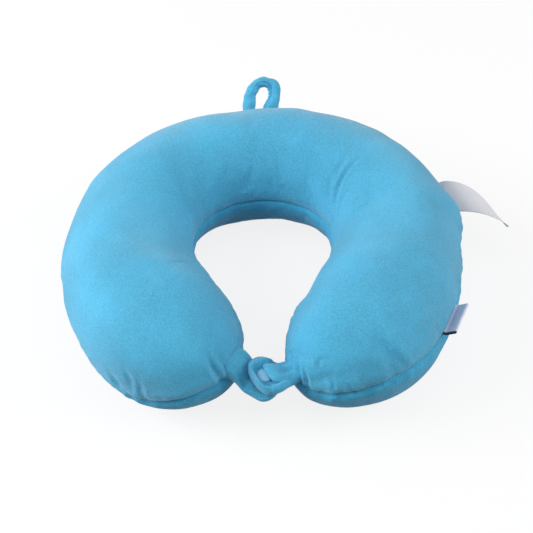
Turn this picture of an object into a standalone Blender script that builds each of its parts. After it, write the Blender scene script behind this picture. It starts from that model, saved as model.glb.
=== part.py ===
# U-shaped travel neck pillow: a foam core in a sewn two-panel cover that closes with a zip,
# with two straps that snap together across the front, a hanging loop and two sewn-in labels.
# Metres, +Z up. It lies on z = 0 with the middle of its back over the origin and its tips toward -Y.

import math
from collections import namedtuple

import bmesh
import bpy
from mathutils import Matrix, Vector

# Plan: a ring between two eccentric circles, with each tip bent along an arc
OUTER_RADIUS = 0.150
NECK_RADIUS = 0.052
ECCENTRICITY = 0.0055
TIP_START_DEG = -36.0
TIP_BEND_RADIUS = 0.100
TIP_LENGTH = 0.079
TIP_FULLNESS = 2.2

# Section: an ellipse with a flat underside, lower at the back than in the arms
BACK_HALF_HEIGHT = 0.0460
ARM_HALF_HEIGHT = 0.0480
RISE_START_DEG = 76.0
RISE_END_DEG = 126.0
FLAT_DEPTH = 0.0030
FLAT_EDGE_DEG = 78.0

# Cover, core and seam
COVER_THICKNESS = 0.0030
CORE_CLEARANCE = 0.0006
THREAD_WIDTH = 0.0008
THREAD_DEPTH = 0.0010
THREAD_SINK = 0.0008
CLEARANCE = 0.0003

# Zip in the outer seam, left of the loop; its angles are counted from the middle of the back
ZIP_START_DEG = 14.0
ZIP_END_DEG = 66.0
TAPE_RUN_ON_DEG = 5.0
RIM_OPEN_DEG = 8.0
RIM_FADE_DEG = 5.0
COIL_WIDTH = 0.0015
COIL_SINK = 0.0004
COIL_SLOT = 0.0014
RIM_TO_COIL = 0.0008
TAPE_WIDTH = 0.0080
TAPE_THICKNESS = 0.0005
TAPE_TO_COVER = 0.0004
STOP_LENGTH = 0.0025
CORE_PRESS = 0.0055
CORE_PRESS_POWER = 12
RIM_LIFT_POWER = 8
SLIDER_LENGTH = 0.0100
SLIDER_WIDTH = 0.0084
SLIDER_PLATE = 0.0012
SLIDER_POST_LENGTH = 0.0030
BAIL_LENGTH = 0.0084
BAIL_WIDTH = 0.0016
BAIL_WALL = 0.0012
BAIL_HOLE_HEIGHT = 0.0022
PULL_BAR = 0.0012
PULL_WIDTH = 0.0056
PULL_LENGTH = 0.0240
PULL_SWING_CLEARANCE = 0.0005

# Hanging loop
LOOP_LENGTH = 0.047
LOOP_HALF_WIDTH = 0.0115
LOOP_TUBE_RADIUS = 0.0050
LOOP_ROOT_RADIUS = 0.0010
LOOP_ROOT_SPREAD = 0.0070
LOOP_TILT_DEG = 40.0

# Straps and press stud
STRAP_WIDTH = 0.028
STRAP_THICKNESS = 0.0044
STRAP_ROOT_THICKNESS = 0.0016
STRAP_END_LENGTH = 0.0120
STRAP_EDGE_POWER = 0.6
STRAP_SWEEP_DEG = 19.0
STRAP_OFFSET = 0.0090
SNAP_CAP_RADIUS = 0.0056
SNAP_CAP_HEIGHT = 0.0012
SNAP_PIN_RADIUS = 0.0010
SNAP_BODY_RADIUS = 0.0053
SOCKET_HEIGHT = 0.0030
SOCKET_ROOF = 0.0008
STUD_BASE_HEIGHT = 0.0012
STUD_POST_RADIUS = 0.0021
STUD_POST_HEIGHT = 0.0019
STUD_PLAY = 0.0007
CAP_CROWN_RADIUS = 0.0039
CAP_CROWN_HEIGHT = 0.0010
CAP_EDGE_HEIGHT = 0.0004
STUD_NECK_RADIUS = 0.0018
STUD_TOP_RADIUS = 0.0016
STUD_BULGE_HEIGHT = 0.0011

# Labels
CARE_ANGLE_DEG = 66.0
CARE_WIDTH = 0.030
CARE_LENGTH = 0.046
CARE_DROOP_DEG = 38.0
LABEL_THICKNESS = 0.0005
SIDE_ANGLE_DEG = 115.0
SIDE_WIDTH = 0.028
SIDE_LENGTH = 0.012
SIDE_FOLD_GAP = 0.0007
SIDE_SWING_DEG = 20.0

# Numbers of faces
ARC_STEPS = 18
TIP_STEPS = 7
SECTION_STEPS = 10
LATHE_STEPS = 24
STRAP_SECTION_STEPS = 14
LOOP_BOW_STEPS = 12
LOOP_BEVEL_STEPS = 2
CARE_STEPS = 8
FOLD_STEPS = 6
ZIP_STEP_DEG = 3.0

# Sizes and places that follow from the ones above
SEAM_GAP = THREAD_WIDTH + 2 * CLEARANCE
RIM_LIFT = COIL_SLOT / 2 + COIL_WIDTH + RIM_TO_COIL - SEAM_GAP / 2
RING_CENTRE = Vector((0.0, -(OUTER_RADIUS + NECK_RADIUS) / 2, 0.0))
OUTER_CENTRE = RING_CENTRE - Vector((0.0, ECCENTRICITY, 0.0))
TIP_START = math.radians(TIP_START_DEG)
POLE = ARC_STEPS + TIP_STEPS
SNAP_STACK = STUD_BASE_HEIGHT + SOCKET_HEIGHT + 3 * CLEARANCE
STRAP_SHIFT = (SNAP_STACK + STRAP_THICKNESS) / 2
COIL_OUTER = OUTER_RADIUS - COIL_SINK
TAPE_OUTER = OUTER_RADIUS - COVER_THICKNESS - TAPE_TO_COVER
TAPE_INNER = TAPE_OUTER - TAPE_THICKNESS
TAPE_SLOPE = math.tan(math.pi / SECTION_STEPS / 2)

Station = namedtuple("Station", "mid out half_width half_height height zip_share")


def smooth(value):
    value = min(max(value, 0.0), 1.0)
    return value * value * (3 - 2 * value)


def polar(radius, angle):
    return Vector((radius * math.cos(angle), radius * math.sin(angle), 0.0))


def reach(angle, radius, offset):
    # Distance from the ring centre to a circle whose own centre lies offset behind the ring centre
    along = offset * math.sin(angle)
    return along + math.sqrt(radius ** 2 - offset ** 2 + along ** 2)


def half_height_at(angle):
    turn = 90.0 - math.degrees(angle)
    share = smooth((turn - RISE_START_DEG) / (RISE_END_DEG - RISE_START_DEG))
    return BACK_HALF_HEIGHT + (ARM_HALF_HEIGHT - BACK_HALF_HEIGHT) * share


def seam_height(angle):
    return half_height_at(angle) + SEAM_GAP / 2 - FLAT_DEPTH


def arc_station(angle):
    outer = reach(angle, OUTER_RADIUS, -ECCENTRICITY)
    inner = reach(angle, NECK_RADIUS, ECCENTRICITY)
    return RING_CENTRE + polar((outer + inner) / 2, angle), (outer - inner) / 2


def zip_share(index, outer_point):
    # 1 along the zip on the left side, 0 elsewhere
    if index >= 0 or -index > ARC_STEPS:
        return 0.0
    from_centre = outer_point - OUTER_CENTRE
    degrees = math.degrees(math.atan2(abs(from_centre.x), from_centre.y))
    start = degrees - (ZIP_START_DEG - RIM_OPEN_DEG)
    end = (ZIP_END_DEG + RIM_OPEN_DEG) - degrees
    return min(max(min(start, end) / RIM_FADE_DEG, 0.0), 1.0)


def station(index, inset):
    # Stations run from the left tip (-POLE) over the middle of the back (0) to the right tip (POLE)
    side = -1.0 if index < 0 else 1.0
    step = abs(index)
    angle = math.radians(90.0) + (TIP_START - math.radians(90.0)) * min(step / ARC_STEPS, 1.0)
    mid, half_width = arc_station(angle)
    height = half_height_at(angle)
    profile = 1.0
    if step > ARC_STEPS:
        along = math.sin(math.radians(90.0) * (step - ARC_STEPS) / TIP_STEPS)
        bend_centre = mid - polar(TIP_BEND_RADIUS, TIP_START)
        angle = TIP_START - along * (TIP_LENGTH - inset) / TIP_BEND_RADIUS
        mid = bend_centre + polar(TIP_BEND_RADIUS, angle)
        profile = max(1.0 - along ** TIP_FULLNESS, 0.0) ** (1.0 / TIP_FULLNESS)
    out = polar(1.0, angle)
    share = zip_share(index, mid + out * half_width)
    return Station(
        Vector((side * mid.x, mid.y, 0.0)),
        Vector((side * out.x, out.y, 0.0)),
        (half_width - inset) * profile,
        (height - inset) * profile,
        height + SEAM_GAP / 2 - FLAT_DEPTH,
        share,
    )


def section_turns(place, inset, gap, upper):
    # Angles from the outer seam to the inner seam; the lower half has a point at each edge of the flat
    if upper:
        return [math.pi * step / SECTION_STEPS for step in range(SECTION_STEPS + 1)]
    half = SECTION_STEPS // 2
    sine = (place.height - gap / 2 - inset) / place.half_height
    edge = min(math.asin(min(sine, 1.0)), math.radians(FLAT_EDGE_DEG))
    rising = [edge * step / (half - 1) for step in range(half)]
    return rising + [math.pi / 2] + [math.pi - turn for turn in reversed(rising)]


def section(index, inset, gap, upper, press=0.0, lift=0.0):
    place = station(index, inset)
    sign = 1.0 if upper else -1.0
    if abs(index) == POLE:
        return [place.mid + Vector((0.0, 0.0, place.height + sign * gap / 2))]
    points = []
    for turn in section_turns(place, inset, gap, upper):
        outward = max(math.cos(turn), 0.0) * place.zip_share
        across = place.half_width * math.cos(turn) - press * outward ** CORE_PRESS_POWER
        rise = gap / 2 + place.half_height * math.sin(turn) + lift * outward ** RIM_LIFT_POWER
        point = place.mid + place.out * across
        point.z = max(place.height + sign * rise, inset)
        points.append(point)
    return points


def skin(mesh, rows, wrap=False):
    # Faces between neighbouring rows; a row of one point is the tip of a fan
    for first, second in zip(rows, rows[1:]):
        count = max(len(first), len(second))
        for step in range(count if wrap else count - 1):
            ahead = (step + 1) % count
            corners = []
            for vert in (
                first[min(step, len(first) - 1)],
                first[min(ahead, len(first) - 1)],
                second[min(ahead, len(second) - 1)],
                second[min(step, len(second) - 1)],
            ):
                if vert not in corners:
                    corners.append(vert)
            mesh.faces.new(corners)


def add_rows(mesh, rows, origin):
    return [[mesh.verts.new(point - origin) for point in row] for row in rows]


def make_material(name, colour, roughness, metallic=0.0):
    material = bpy.data.materials.new(name)
    material.use_nodes = True
    shader = material.node_tree.nodes["Principled BSDF"]
    shader.inputs["Base Color"].default_value = (*colour, 1.0)
    shader.inputs["Roughness"].default_value = roughness
    shader.inputs["Metallic"].default_value = metallic
    return material


def make_object(name, mesh, look, origin=Vector(), is_smooth=True):
    bmesh.ops.recalc_face_normals(mesh, faces=mesh.faces)
    data = bpy.data.meshes.new(name)
    mesh.to_mesh(data)
    mesh.free()
    data.polygons.foreach_set("use_smooth", [is_smooth] * len(data.polygons))
    data.materials.append(look)
    made = bpy.data.objects.new(name, data)
    made.location = origin
    bpy.context.scene.collection.objects.link(made)
    return made


def combine(made, other, operation):
    # Boolean of two objects; the second one is used up
    modifier = made.modifiers.new(operation.title(), "BOOLEAN")
    modifier.operation = operation
    modifier.solver = "EXACT"
    modifier.object = other
    bpy.context.view_layer.update()
    graph = bpy.context.evaluated_depsgraph_get()
    result = bpy.data.meshes.new_from_object(made.evaluated_get(graph))
    made.modifiers.remove(modifier)
    made.data = result
    bpy.data.objects.remove(other)


def loft(name, rows, look, origin=Vector(), is_smooth=True):
    # Closed solid over rows of the same closed outline, with flat or pointed ends
    mesh = bmesh.new()
    verts = add_rows(mesh, rows, origin)
    skin(mesh, verts, wrap=True)
    for row in (verts[0], verts[-1]):
        if len(row) > 2:
            mesh.faces.new(row)
    return make_object(name, mesh, look, origin, is_smooth)


def lathe(name, profile, look, centre, origin, closed=False):
    # Solid of revolution about the vertical line through centre; profile points are (radius, height)
    rows = []
    for radius, height in profile:
        count = LATHE_STEPS if radius > 0 else 1
        spokes = [polar(radius, 2 * math.pi * step / count) for step in range(count)]
        rows.append([centre + spoke + Vector((0.0, 0.0, height)) for spoke in spokes])
    mesh = bmesh.new()
    verts = add_rows(mesh, rows, origin)
    skin(mesh, verts + verts[:1] if closed else verts, wrap=True)
    return make_object(name, mesh, look, origin)


def prism(name, outline, heights, look, frame, origin):
    # Solid of a flat outline between two heights, all in a frame's own axes
    mesh = bmesh.new()
    rows = [[frame @ Vector((x, y, z)) for x, y in outline] for z in heights]
    verts = add_rows(mesh, rows, origin)
    skin(mesh, verts, wrap=True)
    mesh.faces.new(verts[0])
    mesh.faces.new(verts[1])
    return make_object(name, mesh, look, origin, is_smooth=False)


def rectangle(left, right, near, far):
    return [(left, near), (right, near), (right, far), (left, far)]


def cover_panel(name, upper, look):
    mesh = bmesh.new()
    faces = []
    for inset in (0.0, COVER_THICKNESS):
        rows = [
            section(index, inset, SEAM_GAP, upper, lift=RIM_LIFT)
            for index in range(-POLE, POLE + 1)
        ]
        faces.append(add_rows(mesh, rows, Vector()))
        skin(mesh, faces[-1])
    for end in (0, -1):
        skin(mesh, [[row[end] for row in rows] for rows in faces])
    return make_object(name, mesh, look)


def foam_core(look):
    inset = COVER_THICKNESS + CORE_CLEARANCE
    rows = []
    for index in range(-POLE, POLE + 1):
        above = section(index, inset, 0.0, True, press=CORE_PRESS)
        below = section(index, inset, 0.0, False, press=CORE_PRESS)
        rows.append(above + below[-2:0:-1] if len(above) > 1 else above)
    return loft("foam_core", rows, look)


def seam_thread(look):
    # Runs in the seam from the far end of the zip round both tips to the middle of the back
    last_open = min(index for index in range(-ARC_STEPS, 0) if station(index, 0.0).zip_share > 0)
    outer_left = list(range(last_open - 1, -POLE, -1))
    inner = list(range(-POLE, POLE + 1))
    outer_right = list(range(POLE - 1, -1, -1))
    route = [(index, 1) for index in outer_left]
    route += [(index, -1) for index in inner]
    route += [(index, 1) for index in outer_right]
    rows = []
    for index, side in route:
        row = []
        for inset, sign in ((0, 1), (0, -1), (1, -1), (1, 1)):
            place = station(index, THREAD_SINK + inset * THREAD_DEPTH)
            point = place.mid + place.out * (side * place.half_width)
            point.z = place.height + sign * THREAD_WIDTH / 2
            row.append(point)
        rows.append(row)
    return loft("seam_thread", rows, look, is_smooth=False)


def zip_point(radius, degrees, height):
    point = OUTER_CENTRE + polar(radius, math.radians(90.0 + degrees))
    point.z = seam_height(math.radians(90.0)) + height
    return point


def arc_bar(name, radii, heights, degrees, look, lean=0.0):
    # Bar along the zip; its second height lies nearer to the zip's centre by lean
    steps = max(1, round((degrees[1] - degrees[0]) / ZIP_STEP_DEG))
    corners = [(radii[0], heights[0]), (radii[1], heights[0])]
    corners += [(radii[1] - lean, heights[1]), (radii[0] - lean, heights[1])]
    rows = []
    for step in range(steps + 1):
        at = degrees[0] + (degrees[1] - degrees[0]) * step / steps
        rows.append([zip_point(radius, at, height) for radius, height in corners])
    return loft(name, rows, look, is_smooth=False)


def zip_chain(looks):
    stop = math.degrees(STOP_LENGTH / OUTER_RADIUS)
    gap = math.degrees(CLEARANCE / OUTER_RADIUS)
    coil_edge = COIL_SLOT / 2 + COIL_WIDTH
    tape_edge = COIL_SLOT / 2 + TAPE_WIDTH
    for name, sign in (("upper", 1), ("lower", -1)):
        arc_bar(
            f"zip_{name}_tape",
            (TAPE_INNER, TAPE_OUTER),
            (sign * COIL_SLOT / 2, sign * tape_edge),
            (ZIP_START_DEG - TAPE_RUN_ON_DEG, ZIP_END_DEG + TAPE_RUN_ON_DEG),
            looks["tape"],
            lean=TAPE_SLOPE * TAPE_WIDTH,
        )
        arc_bar(
            f"zip_{name}_coil",
            (TAPE_OUTER + CLEARANCE, COIL_OUTER),
            (sign * COIL_SLOT / 2, sign * coil_edge),
            (ZIP_START_DEG + stop + gap, ZIP_END_DEG - stop - gap),
            looks["coil"],
        )
    for name, start in (("top", ZIP_START_DEG), ("bottom", ZIP_END_DEG - stop)):
        arc_bar(
            f"zip_{name}_stop",
            (TAPE_OUTER + CLEARANCE, COIL_OUTER),
            (-coil_edge, coil_edge),
            (start, start + stop),
            looks["metal"],
        )


def slider_frame():
    # Own axes at the closed end of the zip: X along the zip away from the back, Y out, Z up
    reach_along = STOP_LENGTH + 2 * CLEARANCE + SLIDER_LENGTH / 2
    degrees = ZIP_START_DEG + math.degrees(reach_along / OUTER_RADIUS)
    turn = Matrix.Rotation(math.radians(degrees), 4, "Z") @ Matrix.Diagonal((-1.0, 1.0, 1.0, 1.0))
    return Matrix.Translation(zip_point(OUTER_RADIUS, degrees, 0.0)) @ turn


def zip_slider(look):
    frame = slider_frame()
    axis = Vector((OUTER_CENTRE.x, OUTER_CENTRE.y, seam_height(math.radians(90.0))))
    face = 2 * CLEARANCE
    top = face + SLIDER_PLATE
    half = SLIDER_WIDTH / 2
    end = SLIDER_LENGTH / 2
    back = TAPE_INNER - OUTER_RADIUS - TAPE_SLOPE * half - 2 * CLEARANCE
    post = COIL_SLOT / 2 - CLEARANCE
    bite = SLIDER_PLATE / 4
    post_start = bite - end
    leg = BAIL_LENGTH / 2
    hole = leg - BAIL_WALL
    roof = top + BAIL_HOLE_HEIGHT
    arch = [(-leg, top - bite), (-leg, roof + BAIL_WALL), (leg, roof + BAIL_WALL), (leg, top - bite)]
    arch += [(hole, top - bite), (hole, roof), (-hole, roof), (-hole, top - bite)]
    slider = prism("zip_slider", rectangle(-end, end, face, top), (-half, half), look, frame, axis)
    for outline, reach_up in (
        (arch, BAIL_WIDTH / 2),
        (rectangle(post_start, post_start + SLIDER_POST_LENGTH, back - bite, face + bite), post),
        (rectangle(-end, end, back - SLIDER_PLATE, back), half),
    ):
        piece = prism("slider_piece", outline, (-reach_up, reach_up), look, frame, axis)
        combine(slider, piece, "UNION")
    return slider


def zip_pull(look):
    frame = slider_frame()
    centre = 2 * CLEARANCE + SLIDER_PLATE + BAIL_HOLE_HEIGHT / 2
    origin = frame @ Vector((0.0, centre, 0.0))
    half = PULL_BAR / 2
    rise = BAIL_HOLE_HEIGHT / 2 + BAIL_WALL
    window_end = math.hypot(BAIL_LENGTH / 2, rise) + PULL_SWING_CLEARANCE
    window_half = BAIL_WIDTH / 2 + PULL_SWING_CLEARANCE
    wide = PULL_WIDTH / 2
    plate = rectangle(-half, PULL_LENGTH, centre - half, centre + half)
    opening = rectangle(half, window_end, centre - PULL_BAR, centre + PULL_BAR)
    pull = prism("zip_pull", plate, (-wide, wide), look, frame, origin)
    window = prism("pull_window", opening, (-window_half, window_half), look, frame, origin)
    combine(pull, window, "DIFFERENCE")
    return pull


def outer_frame(degrees, side):
    # Own axes on the outer seam: X out, Y along the seam, Z up; degrees from the middle of the back
    out = polar(1.0, math.radians(90.0 - side * degrees))
    ring_angle = math.radians(90.0 - degrees)
    point = OUTER_CENTRE + out * OUTER_RADIUS
    point.z = seam_height(ring_angle)
    along = Vector((0.0, 0.0, 1.0)).cross(out)
    turn = Matrix((out, along, Vector((0.0, 0.0, 1.0)))).transposed().to_4x4()
    return Matrix.Translation(point) @ turn


def hanging_loop(look):
    frame = outer_frame(0.0, 1)
    falls_back = OUTER_RADIUS - math.sqrt(OUTER_RADIUS ** 2 - LOOP_ROOT_SPREAD ** 2)
    root = LOOP_ROOT_RADIUS + CLEARANCE - falls_back
    origin = frame @ Vector((root, 0.0, 0.0))
    tilt = math.radians(LOOP_TILT_DEG)
    centre = LOOP_LENGTH - LOOP_TUBE_RADIUS - LOOP_HALF_WIDTH
    distance = math.hypot(centre, LOOP_ROOT_SPREAD)
    foot = math.atan2(-centre, LOOP_ROOT_SPREAD) + math.acos(LOOP_HALF_WIDTH / distance)
    arc_step = (math.pi - 2 * foot) / LOOP_BOW_STEPS
    arc = [foot + arc_step * step for step in range(LOOP_BOW_STEPS + 1)]
    bow = [(LOOP_HALF_WIDTH * math.cos(t), centre + LOOP_HALF_WIDTH * math.sin(t)) for t in arc]
    root_point = Vector((LOOP_ROOT_SPREAD, -CLEARANCE))
    leg = [root_point.lerp(Vector(bow[0]), share) for share in (0.0, 0.25, 0.5, 0.75)]
    flat = [(point.x, point.y) for point in leg] + bow + [(-point.x, point.y) for point in reversed(leg)]
    curve = bpy.data.curves.new("hang_loop", "CURVE")
    curve.dimensions = "3D"
    curve.bevel_depth = LOOP_TUBE_RADIUS
    curve.bevel_resolution = LOOP_BEVEL_STEPS
    curve.use_fill_caps = True
    spline = curve.splines.new("POLY")
    spline.points.add(len(flat) - 1)
    for point, (across, along) in zip(spline.points, flat):
        point.co = (across, along * math.cos(tilt), along * math.sin(tilt), 1.0)
        swell = smooth(along / (LOOP_LENGTH / 3))
        point.radius = (LOOP_ROOT_RADIUS + (LOOP_TUBE_RADIUS - LOOP_ROOT_RADIUS) * swell) / LOOP_TUBE_RADIUS
    curve.materials.append(look)
    made = bpy.data.objects.new("hang_loop", curve)
    made.location = origin
    bpy.context.scene.collection.objects.link(made)
    return made


def tip_recess(offset):
    # How far the tip's outline lies behind its foremost point, at an offset to one side of that point
    half_width = arc_station(TIP_START)[1]
    share = (1.0 - (offset / half_width) ** TIP_FULLNESS) ** (1.0 / TIP_FULLNESS)
    return TIP_LENGTH * (1.0 - share)


def strap_frame(side):
    # Own axes at the tip: X along the strap toward the middle, Z up; the origin is on the fold line
    pole = station(side * POLE, 0.0)
    ahead = Vector((0.0, 0.0, 1.0)).cross(pole.out) * -side
    along = Matrix.Rotation(math.radians(side * STRAP_SWEEP_DEG), 3, "Z") @ ahead
    across = Vector((0.0, 0.0, 1.0)).cross(along)
    turn = Matrix((along, across, Vector((0.0, 0.0, 1.0)))).transposed().to_4x4()
    foot = pole.mid + pole.out * STRAP_OFFSET - ahead * tip_recess(STRAP_OFFSET)
    foot += along * (STRAP_ROOT_THICKNESS / 2 + CLEARANCE)
    foot.z = pole.height
    return Matrix.Translation(foot) @ turn


def snap_reach(side):
    frame = strap_frame(side)
    return -frame.translation.x / frame.col[0].x


def flattened(value):
    # Sine or cosine drawn out toward the corners of a rounded rectangle
    return math.copysign(abs(value) ** STRAP_EDGE_POWER, value)


def strap(side, name, look):
    frame = strap_frame(side)
    origin = frame.translation.copy()
    snap_at = snap_reach(side)
    length = snap_at + STRAP_END_LENGTH
    taper = snap_at - SNAP_CAP_RADIUS - CLEARANCE
    steps = [taper * share for share in (0.0, 0.33, 0.67, 1.0)]
    steps += [snap_at + STRAP_END_LENGTH * math.sin(math.radians(turn)) for turn in (0, 25, 45, 65, 80, 90)]
    rows = []
    for along in steps:
        swell = smooth(along / taper)
        round_off = math.sqrt(max(1.0 - max((along - snap_at) / STRAP_END_LENGTH, 0.0) ** 2, 0.0))
        thick = STRAP_ROOT_THICKNESS + (STRAP_THICKNESS - STRAP_ROOT_THICKNESS) * swell
        middle = side * STRAP_SHIFT * swell
        if along == length:
            rows.append([frame @ Vector((along, 0.0, middle))])
            continue
        row = []
        for step in range(STRAP_SECTION_STEPS):
            turn = 2 * math.pi * step / STRAP_SECTION_STEPS
            across = STRAP_WIDTH / 2 * flattened(math.cos(turn)) * round_off
            up = thick / 2 * flattened(math.sin(turn)) * math.sqrt(round_off)
            row.append(frame @ Vector((along, across, middle + up)))
        rows.append(row)
    made = loft(name, rows, look, origin)
    hole = SNAP_PIN_RADIUS + CLEARANCE
    profile = [(0.0, -STRAP_WIDTH), (hole, -STRAP_WIDTH), (hole, STRAP_WIDTH), (0.0, STRAP_WIDTH)]
    combine(made, lathe("pin_hole", profile, look, snap_centre(), origin), "DIFFERENCE")
    made.data.polygons.foreach_set("use_smooth", [True] * len(made.data.polygons))
    return made


def snap_centre():
    frame = strap_frame(1)
    point = frame @ Vector((snap_reach(1), 0.0, 0.0))
    return Vector((0.0, point.y, point.z))


def press_stud(right, left, look):
    centre = snap_centre()
    face = SNAP_STACK / 2
    stud_low = CLEARANCE - face
    stud_top = stud_low + STUD_BASE_HEIGHT
    socket_low = stud_top + CLEARANCE
    socket_top = socket_low + SOCKET_HEIGHT
    roof = socket_top - SOCKET_ROOF
    outer = face + STRAP_THICKNESS + CLEARANCE
    pin_hole = SNAP_PIN_RADIUS + CLEARANCE
    bore = STUD_POST_RADIUS + STUD_PLAY
    for name, sign, pin_end, strap_object in (
        ("snap_upper_cap", 1, roof + CLEARANCE, right),
        ("snap_lower_cap", -1, stud_low + STUD_BASE_HEIGHT / 2, left),
    ):
        profile = [
            (0.0, sign * (outer + SNAP_CAP_HEIGHT)),
            (CAP_CROWN_RADIUS, sign * (outer + CAP_CROWN_HEIGHT)),
            (SNAP_CAP_RADIUS, sign * (outer + CAP_EDGE_HEIGHT)),
            (SNAP_CAP_RADIUS, sign * outer),
            (SNAP_PIN_RADIUS, sign * outer),
            (SNAP_PIN_RADIUS, pin_end),
            (0.0, pin_end),
        ]
        attach(lathe(name, profile, look, centre, strap_object.location), strap_object)
    ring = [
        (bore, socket_low),
        (SNAP_BODY_RADIUS, socket_low),
        (SNAP_BODY_RADIUS, roof),
        (SNAP_BODY_RADIUS - SOCKET_ROOF, socket_top),
        (pin_hole, socket_top),
        (pin_hole, roof),
        (bore, roof),
    ]
    attach(lathe("snap_socket", ring, look, centre, right.location, closed=True), right)
    hole_top = stud_low + STUD_BASE_HEIGHT / 2 + CLEARANCE
    stud = [
        (0.0, hole_top),
        (pin_hole, hole_top),
        (pin_hole, stud_low),
        (SNAP_BODY_RADIUS, stud_low),
        (SNAP_BODY_RADIUS, stud_top),
        (STUD_NECK_RADIUS, stud_top),
        (STUD_POST_RADIUS, stud_top + STUD_BULGE_HEIGHT),
        (STUD_TOP_RADIUS, stud_top + STUD_POST_HEIGHT),
        (0.0, stud_top + STUD_POST_HEIGHT),
    ]
    attach(lathe("snap_stud", stud, look, centre, left.location), left)


def attach(child, parent):
    # Keeps the child where it is while it follows the parent
    child.parent = parent
    child.location = child.location - parent.location


def ribbon(name, outline, width, frame, look):
    # Solid of a flat outline (out, up) drawn along the seam, with its origin on the fold line
    origin = frame.translation.copy()
    rows = []
    for across in (-width / 2, width / 2):
        rows.append([frame @ Vector((out, across, up)) for out, up in outline])
    return loft(name, rows, look, origin, is_smooth=False)


def care_label(look):
    frame = outer_frame(CARE_ANGLE_DEG, 1)
    frame = frame @ Matrix.Translation((LABEL_THICKNESS + CLEARANCE, 0.0, 0.0))
    droop = math.radians(CARE_DROOP_DEG)
    radius = CARE_LENGTH / droop
    turns = [droop * step / CARE_STEPS for step in range(CARE_STEPS + 1)]
    upper = [(radius * math.sin(t), radius * math.cos(t) - radius) for t in turns]
    inner = radius - LABEL_THICKNESS
    lower = [(inner * math.sin(t), inner * math.cos(t) - radius) for t in reversed(turns)]
    return ribbon("care_label", upper + lower, CARE_WIDTH, frame, look)


def side_label(look):
    # One strip folded double, open at the seam
    frame = outer_frame(SIDE_ANGLE_DEG, 1)
    half = SIDE_FOLD_GAP / 2 + LABEL_THICKNESS
    root_gap = CLEARANCE + half * math.sin(math.radians(SIDE_SWING_DEG))
    frame = frame @ Matrix.Translation((root_gap, 0.0, 0.0))
    straight = SIDE_LENGTH - half
    turns = [math.pi / 2 - math.pi * step / FOLD_STEPS for step in range(FOLD_STEPS + 1)]
    fold = [(straight + half * math.cos(t), half * math.sin(t)) for t in turns]
    gap = SIDE_FOLD_GAP / 2
    inside = [(straight + gap * math.cos(t), gap * math.sin(t)) for t in reversed(turns)]
    outline = [(0.0, half)] + fold + [(0.0, -half), (0.0, -gap)] + inside + [(0.0, gap)]
    return ribbon("side_label", outline, SIDE_WIDTH, frame, look)


def build():
    for old in list(bpy.data.objects):
        bpy.data.objects.remove(old)
    plush = (0.09, 0.42, 0.68)
    plush_top = make_material("top_plush", plush, 0.9)
    plush_bottom = make_material("bottom_plush", plush, 0.9)
    plush_strap = make_material("strap_plush", plush, 0.9)
    plush_loop = make_material("loop_plush", plush, 0.9)
    foam = make_material("memory_foam", (0.85, 0.80, 0.62), 0.95)
    thread = make_material("blue_thread", (0.06, 0.34, 0.58), 0.8)
    tape = make_material("zip_tape", (0.05, 0.30, 0.55), 0.85)
    coil = make_material("zip_nylon", (0.06, 0.33, 0.60), 0.45)
    metal = make_material("zip_metal", (0.08, 0.36, 0.62), 0.35)
    plastic = make_material("snap_plastic", (0.16, 0.44, 0.66), 0.35)
    satin = make_material("care_satin", (0.80, 0.80, 0.84), 0.5)
    woven = make_material("woven_label", (0.40, 0.44, 0.66), 0.7)

    foam_core(foam)
    cover_panel("top_panel", True, plush_top)
    cover_panel("bottom_panel", False, plush_bottom)
    seam_thread(thread)
    zip_chain({"tape": tape, "coil": coil, "metal": metal})
    slider = zip_slider(metal)
    attach(zip_pull(metal), slider)
    hanging_loop(plush_loop)
    right = strap(1, "right_strap", plush_strap)
    left = strap(-1, "left_strap", plush_strap)
    press_stud(right, left, plastic)
    care_label(satin)
    side_label(woven)


build()
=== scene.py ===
import math

import bmesh
import bpy
import numpy as np
from mathutils import Matrix, Vector


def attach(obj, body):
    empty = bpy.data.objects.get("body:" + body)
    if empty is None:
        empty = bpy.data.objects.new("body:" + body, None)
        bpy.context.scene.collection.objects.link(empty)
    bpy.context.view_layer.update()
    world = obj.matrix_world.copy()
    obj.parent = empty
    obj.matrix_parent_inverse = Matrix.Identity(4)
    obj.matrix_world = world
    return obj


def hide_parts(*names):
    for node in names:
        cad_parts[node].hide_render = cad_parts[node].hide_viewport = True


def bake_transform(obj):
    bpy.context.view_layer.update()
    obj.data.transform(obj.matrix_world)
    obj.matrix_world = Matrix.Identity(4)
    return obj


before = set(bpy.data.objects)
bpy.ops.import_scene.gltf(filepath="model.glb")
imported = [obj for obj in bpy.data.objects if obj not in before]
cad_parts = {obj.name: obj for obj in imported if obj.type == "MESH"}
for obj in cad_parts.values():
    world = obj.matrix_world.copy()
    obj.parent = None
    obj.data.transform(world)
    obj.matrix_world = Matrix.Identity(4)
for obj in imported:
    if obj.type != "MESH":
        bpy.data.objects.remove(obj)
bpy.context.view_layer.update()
mm = 0.001
fullTurn = 2 * math.pi
upward = np.array([0.0, 0.0, 1.0])
print("frame loaded")


# nodes of materials and world

def feed(tree, socket, value):
    # a socket takes a link or a plain value
    if isinstance(value, bpy.types.NodeSocket):
        tree.links.new(value, socket)
    else:
        socket.default_value = value


def addNode(tree, kind, sockets, **settings):
    node = tree.nodes.new("ShaderNode" + kind)
    for name, value in settings.items():
        setattr(node, name, value)
    for label, value in sockets.items():
        feed(tree, node.inputs[label], value)
    return node


def addMath(tree, kind, first, second=0.0):
    return addNode(tree, "Math", {0: first, 1: second}, operation=kind).outputs[0]


def addNoise(tree, coords, scale, detail=2.0, rough=0.5):
    sockets = {"Vector": coords, "Scale": scale, "Detail": detail, "Roughness": rough}
    return addNode(tree, "TexNoise", sockets).outputs["Fac"]


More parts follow.
